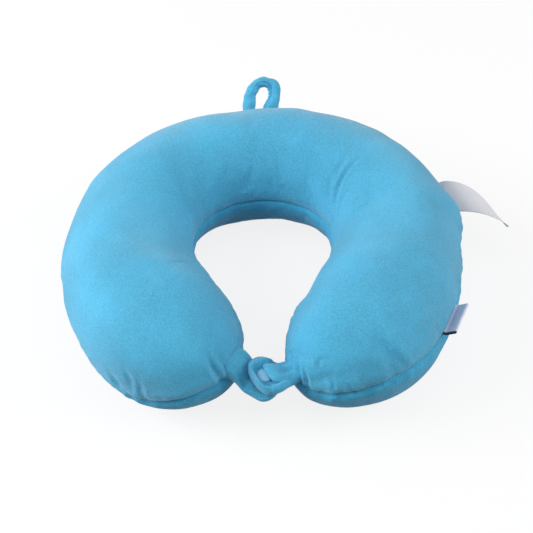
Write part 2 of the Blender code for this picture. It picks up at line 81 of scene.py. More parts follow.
def addRange(tree, value, before, after, kind="SMOOTHSTEP"):
    labels = ("From Min", "From Max", "To Min", "To Max")
    sockets = {"Value": value, **dict(zip(labels, (*before, *after)))}
    return addNode(tree, "MapRange", sockets, interpolation_type=kind).outputs[0]


def addShade(tree, colour, factor):
    # a colour made lighter or darker by a factor
    return addNode(tree, "VectorMath", {0: colour, "Scale": factor}, operation="SCALE").outputs[0]


def addSeen(tree, path):
    # 1 where the eye meets the white straight on, in a shine or through something clear
    seen = path.outputs["Is Camera Ray"]
    for ray in ("Is Glossy Ray", "Is Transmission Ray"):
        seen = addMath(tree, "MAXIMUM", seen, path.outputs[ray])
    return seen


# camera, floor and light

view = {
    "centre": (0.0, -0.101, 0.0457),
    "elevation": 47.43,
    "azimuth": -0.4,
    "distance": 0.8498,
    "pixels": 533,
    "focalPixels": 1140.0,
    "centreAt": (263.7, 253.3),  # where the centre falls in the picture
    "sensor": 36.0,
    "nearest": 0.01,
}


def addCamera():
    up = math.radians(view["elevation"])
    turn = math.radians(view["azimuth"])
    back = Vector((math.sin(turn) * math.cos(up), -math.cos(turn) * math.cos(up), math.sin(up)))
    right = Vector((math.cos(turn), math.sin(turn), 0.0))
    above = back.cross(right)
    middle = view["pixels"] / 2
    sideways = (middle - view["centreAt"][0]) / view["focalPixels"]
    raised = (view["centreAt"][1] - middle) / view["focalPixels"]
    ahead = (-back + right * sideways + above * raised).normalized()
    data = bpy.data.cameras.new("photoView")
    data.sensor_width = view["sensor"]
    data.lens = view["focalPixels"] / view["pixels"] * data.sensor_width
    data.clip_start = view["nearest"]
    camera = bpy.data.objects.new("photoView", data)
    camera.location = Vector(view["centre"]) + back * view["distance"]
    axisX = ahead.cross(above).normalized()
    axisY = axisX.cross(ahead)
    camera.rotation_euler = Matrix((axisX, axisY, -ahead)).transposed().to_euler()
    bpy.context.scene.collection.objects.link(camera)
    bpy.context.scene.camera = camera


studio = {
    "floorSize": 6.0,
    "floorColour": (0.90, 0.90, 0.91, 1.0),
    "bounceColour": (0.30, 0.31, 0.34, 1.0),  # how pale the floor is to the light that it throws back
    "floorDrop": 0.0003,
    "floorGlow": 0.84,  # share of plain white that only the eye sees
    "fadeOut": (0.7, 2.2),  # the floor is plain white from there on, so that no edge of it shows
    "world": 0.24,
    # place, size and power
    "lamps": {
        "keyLamp": ((-1.30, -0.30, 1.00), 1.0, 19.6),
        "sideLamp": ((-1.55, 0.20, 0.50), 1.0, 12.4),
        "fillLamp": ((1.45, -0.20, 0.75), 1.2, 14.8),
        "topLamp": ((0.10, -0.45, 1.50), 1.2, 4.2),
    },
}


def addWorld():
    world = bpy.data.worlds.new("softRoom")
    bpy.context.scene.world = world
    world.use_nodes = True
    tree = world.node_tree
    ground = tree.nodes["Background"].inputs
    ground["Color"].default_value = (1.0, 1.0, 1.0, 1.0)
    seen = addSeen(tree, addNode(tree, "LightPath", {}))
    feed(tree, ground["Strength"], addRange(tree, seen, (0.0, 1.0), (studio["world"], 1.0), "LINEAR"))


def makePaper():
    paper = bpy.data.materials.new("whitePaper")
    paper.use_nodes = True
    tree = paper.node_tree
    tree.nodes.clear()
    path = addNode(tree, "LightPath", {})
    tones = {"Color1": studio["bounceColour"], "Color2": studio["floorColour"]}
    tone = addNode(tree, "MixRGB", {"Fac": path.outputs["Is Camera Ray"], **tones}).outputs[0]
    diffuse = addNode(tree, "BsdfDiffuse", {"Color": tone}).outputs[0]
    glow = addNode(tree, "Emission", {}).outputs[0]
    spot = addNode(tree, "TexCoord", {}).outputs["Object"]
    away = addNode(tree, "VectorMath", {0: spot}, operation="LENGTH").outputs["Value"]
    fade = addRange(tree, away, studio["fadeOut"], (studio["floorGlow"], 1.0))
    share = addMath(tree, "MULTIPLY", addSeen(tree, path), fade)
    mix = addNode(tree, "MixShader", {"Fac": share, 1: diffuse, 2: glow}).outputs[0]
    addNode(tree, "OutputMaterial", {"Surface": mix})
    return paper


def addStudio():
    scene = bpy.context.scene
    scene.view_settings.view_transform = "Standard"
    addWorld()
    mesh = bpy.data.meshes.new("paperFloor")
    half = studio["floorSize"] / 2
    corners = [(-half, -half, 0.0), (half, -half, 0.0), (half, half, 0.0), (-half, half, 0.0)]
    mesh.from_pydata(corners, [], [(0, 1, 2, 3)])
    mesh.materials.append(makePaper())
    floor = bpy.data.objects.new("paperFloor", mesh)
    floor.location.z = -studio["floorDrop"]
    scene.collection.objects.link(floor)
    aim = Vector(view["centre"])
    for name, (place, size, power) in studio["lamps"].items():
        data = bpy.data.lights.new(name, "AREA")
        data.shape = "DISK"
        data.size = size
        data.energy = power
        lamp = bpy.data.objects.new(name, data)
        lamp.location = place
        lamp.rotation_euler = (aim - Vector(place)).to_track_quat("-Z", "Y").to_euler()
        scene.collection.objects.link(lamp)


addCamera()
addStudio()
print("camera, floor and lamps set")


# node groups of the finishes

# every noise is given by its scale, detail and roughness
plush = {
    "colour": (0.056, 0.405, 0.645, 1.0),
    "fibre": (1700.0, 2.0, 0.6),
    "clump": (850.0, 3.0, 0.55),
    "nap": (18.0, 4.0, 0.55),
    "shares": (0.45, 0.55),  # of fibre and clump in the tips of the pile
    "tipRange": (0.30, 0.70),
    "napRange": (0.34, 0.66),
    "speckle": 0.38,
    "drift": 0.085,
    "rough": (0.70, 0.52),
    "gloss": 0.4,
    "sheen": 0.42,
    "lowerGloss": 0.2,  # the nap of the lower panel lies down and shines less
    "lowerSheen": 0.2,
    "sheenRough": 0.45,
    "sheenTint": (0.86, 0.95, 1.0, 1.0),
    "bump": 0.5,
    "bumpDepth": 0.0007,
}
weave = {
    "slub": (260.0, 3.0, 0.6),
    "shares": (0.6, 0.8),  # of threads and slub in the colour
    "middle": 0.7,
    "slubRange": (0.3, 0.7),
    "rough": (0.62, 0.42),
    "sheen": 0.15,
    "bumpDepth": 0.00012,
}
mould = {
    "dull": (420.0, 3.0, 0.6),
    "contrast": 0.16,
    "wornRange": (0.35, 0.7),
    "worn": 0.22,
    "bumpDepth": 0.0003,
}


def objectCoords(tree):
    return addNode(tree, "TexCoord", {}).outputs["Object"]


def addBlend(tree, first, second, shares):
    parts = (addMath(tree, "MULTIPLY", *pair) for pair in zip((first, second), shares))
    return addMath(tree, "ADD", *parts)


def addSwing(tree, value, middle, amount):
    # how far a value is from its middle, times an amount
    return addMath(tree, "MULTIPLY", addMath(tree, "SUBTRACT", value, middle), amount)


def makeGroup(name, *numbers):
    # each group takes a colour and numbers, and puts out a colour, a roughness and a height
    tree = bpy.data.node_groups.new(name, "ShaderNodeTree")
    for way, labels in (("INPUT", ("Colour", *numbers)), ("OUTPUT", ("Colour", "Roughness", "Height"))):
        for label in labels:
            kind = "NodeSocketColor" if label == "Colour" else "NodeSocketFloat"
            tree.interface.new_socket(label, in_out=way, socket_type=kind)
    given, out = tree.nodes.new("NodeGroupInput"), tree.nodes.new("NodeGroupOutput")
    return tree, given.outputs, out.inputs


def setGroup(tree, given, out, change, rough, height):
    # the colour given is made lighter or darker by a change about nought
    feed(tree, out["Colour"], addShade(tree, given["Colour"], addMath(tree, "ADD", change, 1.0)))
    feed(tree, out["Roughness"], rough)
    feed(tree, out["Height"], height)
    return tree


def makePlushGroup():
    # short pile: fine fibre tips, small clumps and large patches where the nap lies another way
    tree, given, out = makeGroup("plushPile")
    coords = objectCoords(tree)
    fibre, clump, nap = (addNoise(tree, coords, *plush[label]) for label in ("fibre", "clump", "nap"))
    tips = addRange(tree, addBlend(tree, fibre, clump, plush["shares"]), plush["tipRange"], (0.0, 1.0))
    patch = addRange(tree, nap, plush["napRange"], (-1.0, 1.0))
    drift = addMath(tree, "MULTIPLY", patch, plush["drift"])
    change = addMath(tree, "ADD", addSwing(tree, tips, 0.5, plush["speckle"]), drift)
    rough = addRange(tree, tips, (0.0, 1.0), plush["rough"])
    return setGroup(tree, given, out, change, rough, tips)


def makeWeaveGroup():
    # threads over and under, from the sheet's own flat coordinates in metres
    tree, given, out = makeGroup("wovenThreads", "Along", "Across", "Contrast")
    flat = addNode(tree, "SeparateXYZ", {0: addNode(tree, "TexCoord", {}).outputs["UV"]}).outputs
    waves = []
    for axis, label in (("X", "Along"), ("Y", "Across")):
        phase = addMath(tree, "MULTIPLY", flat[axis], given[label])
        waves.append(addMath(tree, "SINE", addMath(tree, "MULTIPLY", phase, fullTurn)))
    height = addRange(tree, addMath(tree, "MULTIPLY", *waves), (-1.0, 1.0), (0.0, 1.0), "LINEAR")
    slub = addNoise(tree, objectCoords(tree), *weave["slub"])
    tone = addBlend(tree, height, slub, weave["shares"])
    change = addSwing(tree, tone, weave["middle"], given["Contrast"])
    rough = addRange(tree, slub, weave["slubRange"], weave["rough"])
    return setGroup(tree, given, out, change, rough, height)


def makeMouldGroup():
    # moulded or painted surface: faint grain, a little dulling where it is handled
    tree, given, out = makeGroup("mouldedSkin", "Grain Scale", "Gloss")
    coords = objectCoords(tree)
    dull = addNoise(tree, coords, *mould["dull"])
    worn = addRange(tree, dull, mould["wornRange"], (0.0, mould["worn"]))
    rough = addMath(tree, "ADD", worn, given["Gloss"])
    change = addSwing(tree, dull, 0.5, mould["contrast"])
    return setGroup(tree, given, out, change, rough, addNoise(tree, coords, given["Grain Scale"]))


groups = {"plush": makePlushGroup(), "weave": makeWeaveGroup(), "mould": makeMouldGroup()}


# materials

# colour, threads per metre along and across, contrast, bump
cloths = {
    "satin": ((0.74, 0.74, 0.79, 1.0), 1800.0, 900.0, 0.05, 0.15),
    "woven": ((0.64, 0.67, 0.82, 1.0), 1500.0, 1100.0, 0.28, 0.5),
    # very dark band along one end of the side label
    "navy": ((0.012, 0.022, 0.085, 1.0), 1500.0, 1100.0, 0.28, 0.5),
    "tape": ((0.050, 0.290, 0.520, 1.0), 1300.0, 1300.0, 0.30, 0.6),
}
# colour, least roughness, scale of the grain, bump, coat
hardware = {
    "nylon": ((0.055, 0.320, 0.570, 1.0), 0.30, 1800.0, 0.06, 0.0),
    "enamel": ((0.060, 0.330, 0.590, 1.0), 0.22, 900.0, 0.05, 0.4),
    "plastic": ((0.200, 0.480, 0.700, 1.0), 0.26, 1400.0, 0.08, 0.0),
}
foamLook = {
    "cells": 900.0,
    "patches": (60.0, 4.0, 0.6),
    "shares": (0.35, 0.25),  # of cells and patches in the colour
    "dark": (0.62, 0.55, 0.36, 1.0),
    "pale": (0.90, 0.85, 0.68, 1.0),
    "paleFrom": 0.45,
    "patchRange": (0.3, 0.7),
    "rough": (0.95, 0.85),
    "bump": 0.4,
    "bumpDepth": 0.0005,
}
threadLook = {
    "colour": (0.045, 0.290, 0.510, 1.0),
    "twist": (3200.0, 2.0, 0.5),
    "twistRange": (0.3, 0.7),
    "shade": (0.8, 1.15),
    "rough": (0.7, 0.5),
    "bump": 0.4,
    "bumpDepth": 0.0002,
}


def newMaterial(name, settings):
    material = bpy.data.materials.new(name)
    material.use_nodes = True
    tree = material.node_tree
    shader = tree.nodes["Principled BSDF"].inputs
    for label, value in settings.items():
        shader[label].default_value = value
    return material, tree, shader


def addFinish(tree, shader, colour, rough, height, bump, depth):
    feed(tree, shader["Base Color"], colour)
    feed(tree, shader["Roughness"], rough)
    sockets = {"Strength": bump, "Distance": depth, "Height": height}
    feed(tree, shader["Normal"], addNode(tree, "Bump", sockets).outputs[0])


def groupMaterial(name, group, values, bump, depth, settings):
    material, tree, shader = newMaterial(name, settings)
    skin = tree.nodes.new("ShaderNodeGroup")
    skin.node_tree = groups[group]
    for label, value in values.items():
        skin.inputs[label].default_value = value
    colour, rough, height = (skin.outputs[label] for label in ("Colour", "Roughness", "Height"))
    addFinish(tree, shader, colour, rough, height, bump, depth)
    return material


def makePlush(name, gloss=plush["gloss"], sheen=plush["sheen"]):
    settings = {
        "Specular IOR Level": gloss,
        "Sheen Weight": sheen,
        "Sheen Roughness": plush["sheenRough"],
        "Sheen Tint": plush["sheenTint"],
    }
    values = {"Colour": plush["colour"]}
    return groupMaterial(name, "plush", values, plush["bump"], plush["bumpDepth"], settings)


def makeWoven(name, colour, along, across, contrast, bump):
    values = {"Colour": colour, "Along": along, "Across": across, "Contrast": contrast}
    return groupMaterial(name, "weave", values, bump, weave["bumpDepth"], {"Sheen Weight": weave["sheen"]})


def makeMoulded(name, colour, rough, grain, bump, coat):
    values = {"Colour": colour, "Gloss": rough, "Grain Scale": grain}
    return groupMaterial(name, "mould", values, bump, mould["bumpDepth"], {"Coat Weight": coat})


def makeFoam(name):
    # open cells of moulded foam under a thin skin
    material, tree, shader = newMaterial(name, {})
    coords = objectCoords(tree)
    cells = addNode(tree, "TexVoronoi", {"Vector": coords, "Scale": foamLook["cells"]}).outputs["Distance"]
    patch = addNoise(tree, coords, *foamLook["patches"])
    ramp = addNode(tree, "ValToRGB", {"Fac": addBlend(tree, cells, patch, foamLook["shares"])})
    dark, pale = ramp.color_ramp.elements
    dark.color, pale.color = foamLook["dark"], foamLook["pale"]
    pale.position = foamLook["paleFrom"]
    rough = addRange(tree, patch, foamLook["patchRange"], foamLook["rough"])
    addFinish(tree, shader, ramp.outputs["Color"], rough, cells, foamLook["bump"], foamLook["bumpDepth"])
    return material


def makeThread(name):
    material, tree, shader = newMaterial(name, {})
    twist = addNoise(tree, objectCoords(tree), *threadLook["twist"])
    shade = addRange(tree, twist, threadLook["twistRange"], threadLook["shade"])
    rough = addRange(tree, twist, threadLook["twistRange"], threadLook["rough"])
    plain = addNode(tree, "RGB", {}).outputs[0]
    plain.default_value = threadLook["colour"]
    colour = addShade(tree, plain, shade)
    addFinish(tree, shader, colour, rough, twist, threadLook["bump"], threadLook["bumpDepth"])
    return material


looks = {
    "top": makePlush("topPlush"),
    "bottom": makePlush("bottomPlush", plush["lowerGloss"], plush["lowerSheen"]),
    "strap": makePlush("strapPlush"),
    "loop": makePlush("loopPlush"),
    "satin": makeWoven("careSatin", *cloths["satin"]),
    "woven": makeWoven("labelWeave", *cloths["woven"]),
    "navy": makeWoven("labelStripe", *cloths["navy"]),
    "tape": makeWoven("zipTape", *cloths["tape"]),
    "nylon": makeMoulded("zipNylon", *hardware["nylon"]),
    "enamel": makeMoulded("zipEnamel", *hardware["enamel"]),
    "plastic": makeMoulded("snapPlastic", *hardware["plastic"]),
    "foam": makeFoam("coreFoam"),
    "thread": makeThread("seamThread"),
}
print("materials made")


# the pillow's own form, shared by the cover, the foam, the thread and the zip

form = {
    "outerRadius": 0.150,
    "neckRadius": 0.052,
    "offset": 0.0055,
    "tipStart": -36.0,
    "tipBend": 0.100,
    "tipLength": 0.079,
    "tipFullness": 2.2,
    "backHalf": 0.0460,
    "armHalf": 0.0480,
    "rise": (76.0, 50.0),  # the arms grow thicker from there on, over that many degrees
    "flatDepth": 0.0030,
    "seamLift": 0.0007,
    "press": (0.004, 0.0009),  # how softly the underside meets the floor, and how far it sinks
    # how the stuffed cover departs from the plain form, in millimetres at places along it
    "edgeAt": (-1.85, -1.5, -1.15, -0.8, -0.45, 0.0, 0.45, 0.8, 1.15, 1.5, 1.85),
    "outerEdge": (-5.0, 0.6, 1.1, -1.6, 1.0, -1.8, 3.0, -3.8, 1.4, 0.9, 0.2),
    "innerEdge": (-4.7, -0.9, 1.9, 0.1, 0.8, -0.7, 2.0, -2.0, -0.1, -1.6, -2.6),
    "edgeFade": 3.0,  # how soon that departure is lost towards the end of a tip
    "labelBulge": (0.632, 0.043, 0.0058),  # the seam stands out below the care label
    "heightAt": (-1.5, -0.75, 0.0, 0.75, 1.5),
    "heightMore": (-0.5, 0.1, -0.6, 3.6, -1.0),
    # how far each tip is turned about its own length, in degrees at places along it
    "rollAt": (0.55, 0.8, 1.05, 1.3, 1.55, 1.8, 2.0),
    "roll": {-1: (0.0, -8.0, -15.0, -16.0, 0.0, 10.0, 12.0), 1: (0.0, 6.0, 11.0, 11.0, 0.0, -11.0, -14.0)},
}
arcTurn = 90.0 - form["tipStart"]  # degrees from the middle of the back to where a tip starts
ringCentre = np.array([0.0, -(form["outerRadius"] + form["neckRadius"]) / 2])
outerCentre = ringCentre - np.array([0.0, form["offset"]])


def ease(value):
    value = np.clip(value, 0.0, 1.0)
    return value * value * (3 - 2 * value)


def grow(value, begin, over):
    # from 0 at the beginning to 1 after that length
    return ease((value - begin) / over)


def hump(value, wide, power=2):
    # 1 at nought, falling off over a width
    return np.exp(-(value / wide) ** power)


def reach(angle, radius, offset):
    along = offset * np.sin(angle)
    return along + np.sqrt(radius ** 2 - offset ** 2 + along ** 2)


def unit(ways):
    return ways / np.linalg.norm(ways, axis=-1, keepdims=True)


def turned(first, second, angle):
    # first turned by an angle towards second
    return first * np.cos(angle) + second * np.sin(angle)


def turnsRound(count):
    return np.linspace(0, fullTurn, count, endpoint=False)


def runAlong(points):
    # length along a line of points, from its start
    return np.concatenate([[0.0], np.cumsum(np.linalg.norm(np.diff(points, axis=0), axis=1))])


def curve(knots, values, at):
    # smooth curve through a few values
    knots, values = np.asarray(knots, float), np.asarray(values, float)
    gap = np.diff(knots)
    slope = np.diff(values) / gap
    count = len(knots)
    system = np.eye(count)
    rest = np.zeros(count)
    for step in range(1, count - 1):
        system[step, step - 1:step + 2] = gap[step - 1], 2 * (gap[step - 1] + gap[step]), gap[step]
        rest[step] = 6 * (slope[step] - slope[step - 1])
    bend = np.linalg.solve(system, rest)
    at = np.clip(at, knots[0], knots[-1])
    left = np.clip(np.searchsorted(knots, at, side="right") - 1, 0, count - 2)
    width = gap[left]
    a, b = knots[left + 1] - at, at - knots[left]
    line = values[left] * a / width + values[left + 1] * b / width
    rise = bend[left] * (a ** 3 / width - a * width) + bend[left + 1] * (b ** 3 / width - b * width)
    return line + rise / 6


def between(a, b, c, d, t):
    # smooth way from b to c, out of four values in a row
    square = 2 * a - 5 * b + 4 * c - d
    cube = 3 * b - a - 3 * c + d
    return 0.5 * (2 * b + (c - a) * t + square * t ** 2 + cube * t ** 3)


def smoothPath(points, count):
    # smooth line through a few points
    points = np.asarray(points, float)
    ends = np.concatenate([[2 * points[0] - points[1]], points, [2 * points[-1] - points[-2]]])
    at = np.linspace(0, len(points) - 1, count)
    base = np.minimum(at.astype(int), len(points) - 2)
    return between(*(ends[base + step] for step in range(4)), (at - base)[:, None])


def resample(values, at, axis):
    # smooth values between rows at fractional rows
    values = np.moveaxis(values, axis, 0)
    base = np.clip(np.floor(at).astype(int), 0, len(values) - 2)
    rows = [values[np.clip(base + step, 0, len(values) - 1)] for step in (-1, 0, 1, 2)]
    t = (at - base).reshape((-1,) + (1,) * (values.ndim - 1))
    return np.moveaxis(between(*rows, t), 0, axis)


def ringPlace(place):
    # place runs from -2 at the left tip over 0 at the middle of the back to 2 at the right tip
    place = np.asarray(place, float)
    side = np.where(place < 0, -1.0, 1.0)
    step = np.abs(place)
    tipAngle = math.radians(form["tipStart"])
    angle = math.pi / 2 + (tipAngle - math.pi / 2) * np.minimum(step, 1.0)
    outer = reach(angle, form["outerRadius"], -form["offset"])
    inner = reach(angle, form["neckRadius"], form["offset"])
    middle = (outer + inner) / 2
    halfWidth = (outer - inner) / 2
    share = grow(90.0 - np.degrees(angle), *form["rise"])
    halfHeight = form["backHalf"] + (form["armHalf"] - form["backHalf"]) * share
    height = halfHeight + form["seamLift"] - form["flatDepth"]
    along = np.sin(np.pi / 2 * np.clip(step - 1.0, 0.0, 1.0))
    bend = angle - along * form["tipLength"] / form["tipBend"]
    power = form["tipFullness"]
    profile = np.maximum(1.0 - along ** power, 0.0) ** (1.0 / power)
    flatX = ringCentre[0] + (middle - form["tipBend"]) * np.cos(angle) + form["tipBend"] * np.cos(bend)
    flatY = ringCentre[1] + (middle - form["tipBend"]) * np.sin(angle) + form["tipBend"] * np.sin(bend)
    leftRoll, rightRoll = (curve(form["rollAt"], form["roll"][way], step) for way in (-1, 1))
    bulgeAt, bulgeWide, bulge = form["labelBulge"]
    outerMore = curve(form["edgeAt"], form["outerEdge"], place) * mm
    outerMore = outerMore + bulge * hump(place - bulgeAt, bulgeWide)
    innerMore = curve(form["edgeAt"], form["innerEdge"], place) * mm
    return {
        "middle": np.stack([side * flatX, flatY], -1),
        "out": np.stack([side * np.cos(bend), np.sin(bend)], -1),
        "halfWidth": halfWidth + (outerMore - innerMore) / 2,
        "halfHeight": halfHeight + curve(form["heightAt"], form["heightMore"], place) * mm,
        "profile": profile,
        "height": height,
        "roll": np.radians(np.where(place < 0, leftRoll, rightRoll)),
        "shift": (outerMore + innerMore) / 2 * np.minimum(profile * form["edgeFade"], 1.0),
    }


def coverPoints(place, turn, inset=0.0):
    # turn runs from 0 at the outer seam over the top to pi at the inner seam, and on below back to the start
    at = ringPlace(place)
    wide = (at["halfWidth"] - inset) * at["profile"]
    high = (at["halfHeight"] - inset) * at["profile"]
    across = at["shift"] + wide * np.cos(turn)
    rise = high * np.sin(turn)
    rolled, lifted = turned(across, -rise, at["roll"]), turned(rise, across, at["roll"])
    points = np.empty(np.broadcast(rolled, lifted).shape + (3,))
    points[..., :2] = at["middle"] + at["out"] * rolled[..., None]
    points[..., 2] = at["height"] + lifted
    return points


def layFlat(points, low=0.0):
    # the underside flattens where it lies on the floor
    soft, sink = form["press"]
    height = points[..., 2] - low
    pressed = (height + np.sqrt(height ** 2 + soft ** 2)) / 2
    points[..., 2] = low + np.maximum(pressed - sink, 0.0)
    return points


def latticeNormals(points, shortest=1e-12):
    normal = np.cross(np.gradient(points, axis=0), np.gradient(points, axis=1))
    return normal / np.maximum(np.linalg.norm(normal, axis=-1, keepdims=True), shortest)


def tubeNormals(points):
    # outward ways of a lattice whose first and last columns meet
    wide = np.concatenate([points[:, -2:-1], points, points[:, 1:2]], axis=1)
    normals = -latticeNormals(wide)[:, 1:-1]
    for end, near in ((0, 1), (-1, -2)):
        normals[end] = unit(normals[near].mean(axis=0))
    return normals


def waveNoise(points, size, seed, count=48, spread=(0.75, 1.5)):
    # smooth noise of about that size in metres, from plane waves
    rng = np.random.default_rng(seed)
    total = np.zeros(points.shape[:-1])
    for _ in range(count):
        way = unit(rng.normal(size=3))
        length = size * rng.uniform(*spread)
        total += np.sin(points @ way * (fullTurn / length) + rng.uniform(0, fullTurn))
    return total / math.sqrt(count / 2)


# meshes

def meshObject(name, points, faces, material):
    mesh = bpy.data.meshes.new(name)
    mesh.from_pydata([tuple(point) for point in points], [], faces)
    mesh.polygons.foreach_set("use_smooth", [True] * len(mesh.polygons))
    mesh.materials.append(material)
    mesh.update()
    piece = bpy.data.objects.new(name, mesh)
    bpy.context.scene.collection.objects.link(piece)
    return piece


def cleanMesh(piece, merge=1e-6):
    made = bmesh.new()
    made.from_mesh(piece.data)
    bmesh.ops.remove_doubles(made, verts=made.verts, dist=merge)
    bmesh.ops.recalc_face_normals(made, faces=made.faces)
    made.to_mesh(piece.data)
    made.free()
    return piece


def softenEdges(piece, width, segments):
    bevel = piece.modifiers.new("softEdge", "BEVEL")
    bevel.width = width
    bevel.segments = segments
    bevel.limit_method = "ANGLE"


def tubeRows(path, normals, wide, tall, sides):
    # rings of an oval tube along a path; wide lies along the normals
    ways = unit(np.gradient(path, axis=0))
    normals = unit(normals - ways * np.sum(normals * ways, axis=1, keepdims=True))
    cross = np.cross(ways, normals)
    turn = turnsRound(sides)
    wide = np.broadcast_to(wide, len(path))[:, None, None]
    tall = np.broadcast_to(tall, len(path))[:, None, None]
    around = normals[:, None] * np.cos(turn)[None, :, None] * wide
    around = around + cross[:, None] * np.sin(turn)[None, :, None] * tall
    return path[:, None] + around


def ringMesh(name, rows, material, closed=False, caps=True):
    # mesh over rings of equal count
    rings, sides = rows.shape[:2]
    index = np.arange(rings * sides).reshape(rings, sides)
    ahead = np.roll(index, -1, axis=1)
    faces = np.stack([index[:-1], ahead[:-1], ahead[1:], index[1:]], -1).reshape(-1, 4).tolist()
    if closed:
        faces += np.stack([index[-1], ahead[-1], ahead[0], index[0]], -1).tolist()
    elif caps:
        faces += [index[0][::-1].tolist(), index[-1].tolist()]
    return cleanMesh(meshObject(name, rows.reshape(-1, 3), faces, material))


def shellFaces(rings, steps):
    # two skins over the same lattice, facing apart
    index = np.arange(rings * steps).reshape(rings, steps)
    a, b, c, d = index[:-1, :-1], index[1:, :-1], index[1:, 1:], index[:-1, 1:]
    skins = np.stack([a, b, c, d], -1), np.stack([a, d, c, b], -1) + rings * steps
    return index, [skin.reshape(-1, 4) for skin in skins]


def sheetPiece(name, upper, thickness, material):
    # closed thin sheet over a lattice of points
    lower = upper - latticeNormals(upper) * thickness
    rows, steps = upper.shape[:2]
    index, faces = shellFaces(rows, steps)
    edge = np.concatenate([index[0, :-1], index[:-1, -1], index[-1, :0:-1], index[:0:-1, 0]])
    ahead = np.roll(edge, -1)
    faces.append(np.stack([edge, ahead, ahead + index.size, edge + index.size], -1))
    points = np.concatenate([upper.reshape(-1, 3), lower.reshape(-1, 3)])
    piece = meshObject(name, points, np.concatenate(faces).tolist(), material)
    along, across = runAlong(upper[:, steps // 2]), runAlong(upper[rows // 2])
    flat = np.stack(np.meshgrid(along, across, indexing="ij"), -1).reshape(-1, 2)
    corners = np.zeros(len(piece.data.loops), np.int32)
    piece.data.loops.foreach_get("vertex_index", corners)
    layer = piece.data.uv_layers.new(name="flatCloth")
    layer.uv.foreach_set("vector", flat[corners % index.size].astype(np.float32).ravel())
    return cleanMesh(piece)


def dress(piece, node, body=None):
    # the piece stands for its node and hides it, and hangs on its body where one is given
    if body:
        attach(piece, body)
    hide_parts(node)
    return piece


# cover

zipper = {
    "start": 14.0,
    "end": 66.0,
    "rimOpen": 5.0,
    "rimFade": 5.0,
    "rimLift": 0.0023,
    "rimPower": 8,
    "tapeRunOn": 5.0,
    "tapeWidth": 0.0080,
    "tapeRadius": 0.1461,
    "tapeThick": 0.0005,
    "tapeLean": 9.0,
    "tapeGap": 0.0007,
    "tapeBead": (0.00035, 0.16, 0.06),  # height of the woven bead, its place across the tape and its width
    "tapeSteps": (120, 14),
    "coilRadius": 0.1483,
    "coilDepth": 0.0011,
    "coilReach": (-0.0005, 0.0021),
    "coilEnd": 1.1,  # lengths of a stop that the coil keeps clear of at each end
    "coilSteps": 14,
    "pitch": 0.0013,
    "wire": 0.00030,
    "wireSides": 6,
    "wireLean": 0.3,
    "height": 0.0437,
    "stop": 0.0025,
    "cadEdge": (0.0003, 3),
    "joinWithin": 1e-6,
}


def zipOpen(place):
    # 1 along the zip on the left side, 0 elsewhere
    degrees = -np.asarray(place) * arcTurn
    start = degrees - (zipper["start"] - zipper["rimOpen"])
    end = zipper["end"] + zipper["rimOpen"] - degrees
    return ease(np.minimum(start, end) / zipper["rimFade"])


cover = {
    "arcRings": 330,
    "tipRings": 120,
    "sectionSteps": 84,
    "crowding": 0.75,  # how much closer the points lie near the seams
    "thickness": 0.0022,
    "fill": 0.9,
    "groove": (0.0024, 0.0019, 1.1),  # depth, width and power
    "shoulder": (0.0006, 0.008, 0.005),  # height, place beside the seam and width
    "tipFade": 0.06,
    "pucker": {
        "spacing": 0.0085, "depth": 0.00042, "reach": 0.0085, "power": 1.4, "rise": 0.0025, "seeds": (11, 12),
    },
    "puckerOnBack": 0.45,
    "puckerTips": (0.9, 0.4),
    "lumps": ((0.070, 0.0006, 3), (0.028, 0.00020, 4)),  # size, depth, seed
    "lumpFade": 0.02,
    "foldFade": 0.004,
    "creaseSteps": 40,
    "creaseNear": 0.08,
    "creaseEnds": (0.03, 0.6),  # how a crease dies out at its ends
    "creaseLip": (0.35, 2.1, 0.9),  # height, place and width of the raised edges
    # folds pressed into the plush: places along and round the pillow, depth, width
    "creases": (
        (((0.411, 99), (0.411, 118), (0.422, 134), (0.456, 149), (0.500, 156)), 0.0015, 0.0016),
        (((0.622, 115), (0.639, 129), (0.650, 144)), 0.0012, 0.0015),
        (((0.367, 106), (0.367, 121), (0.378, 134)), 0.0008, 0.0018),
        (((0.350, 132), (0.378, 144), (0.428, 156)), 0.0008, 0.0015),
        (((0.494, 134), (0.500, 146), (0.550, 156)), 0.0008, 0.0015),
        (((1.285, 43), (1.285, 27), (1.254, -5)), 0.0019, 0.0038),
        (((1.262, 27), (1.238, 13), (1.200, -2)), 0.0009, 0.0026),
        (((-1.569, 57), (-1.623, 38), (-1.677, 18), (-1.723, -4)), 0.0024, 0.0022),
        (((-1.631, 57), (-1.685, 38), (-1.800, 6)), 0.0010, 0.0024),
        (((-1.546, 153), (-1.623, 149), (-1.723, 142)), 0.0009, 0.0018),
        (((-1.146, 22), (-1.177, 14), (-1.208, 7)), 0.0014, 0.0026),
        (((-1.215, 36), (-1.246, 25), (-1.262, 13)), 0.0009, 0.0022),
        (((-1.285, 27), (-1.292, 18), (-1.308, 5)), 0.0009, 0.0022),
        (((1.808, 62), (1.792, 36), (1.777, -7)), 0.0019, 0.0018),
        (((1.746, 43), (1.731, 25), (1.723, -4)), 0.0018, 0.0017),
        (((1.885, 93), (1.869, 54), (1.862, -9)), 0.0014, 0.0018),
        (((1.631, 43), (1.608, 51), (1.562, 48)), 0.0012, 0.0014),
        (((1.562, 25), (1.554, 16), (1.554, 5)), 0.0009, 0.0016),
        (((1.485, 17), (1.469, 9), (1.454, -2)), 0.0008, 0.0016),
        (((-1.208, 96), (-1.300, 93), (-1.377, 77)), 0.0006, 0.0040),
        (((0.900, 65), (0.944, 54), (0.983, 43)), 0.0006, 0.0040),
        (((1.038, 27), (1.108, 24), (1.185, 22)), 0.0010, 0.0028),
    ),
}
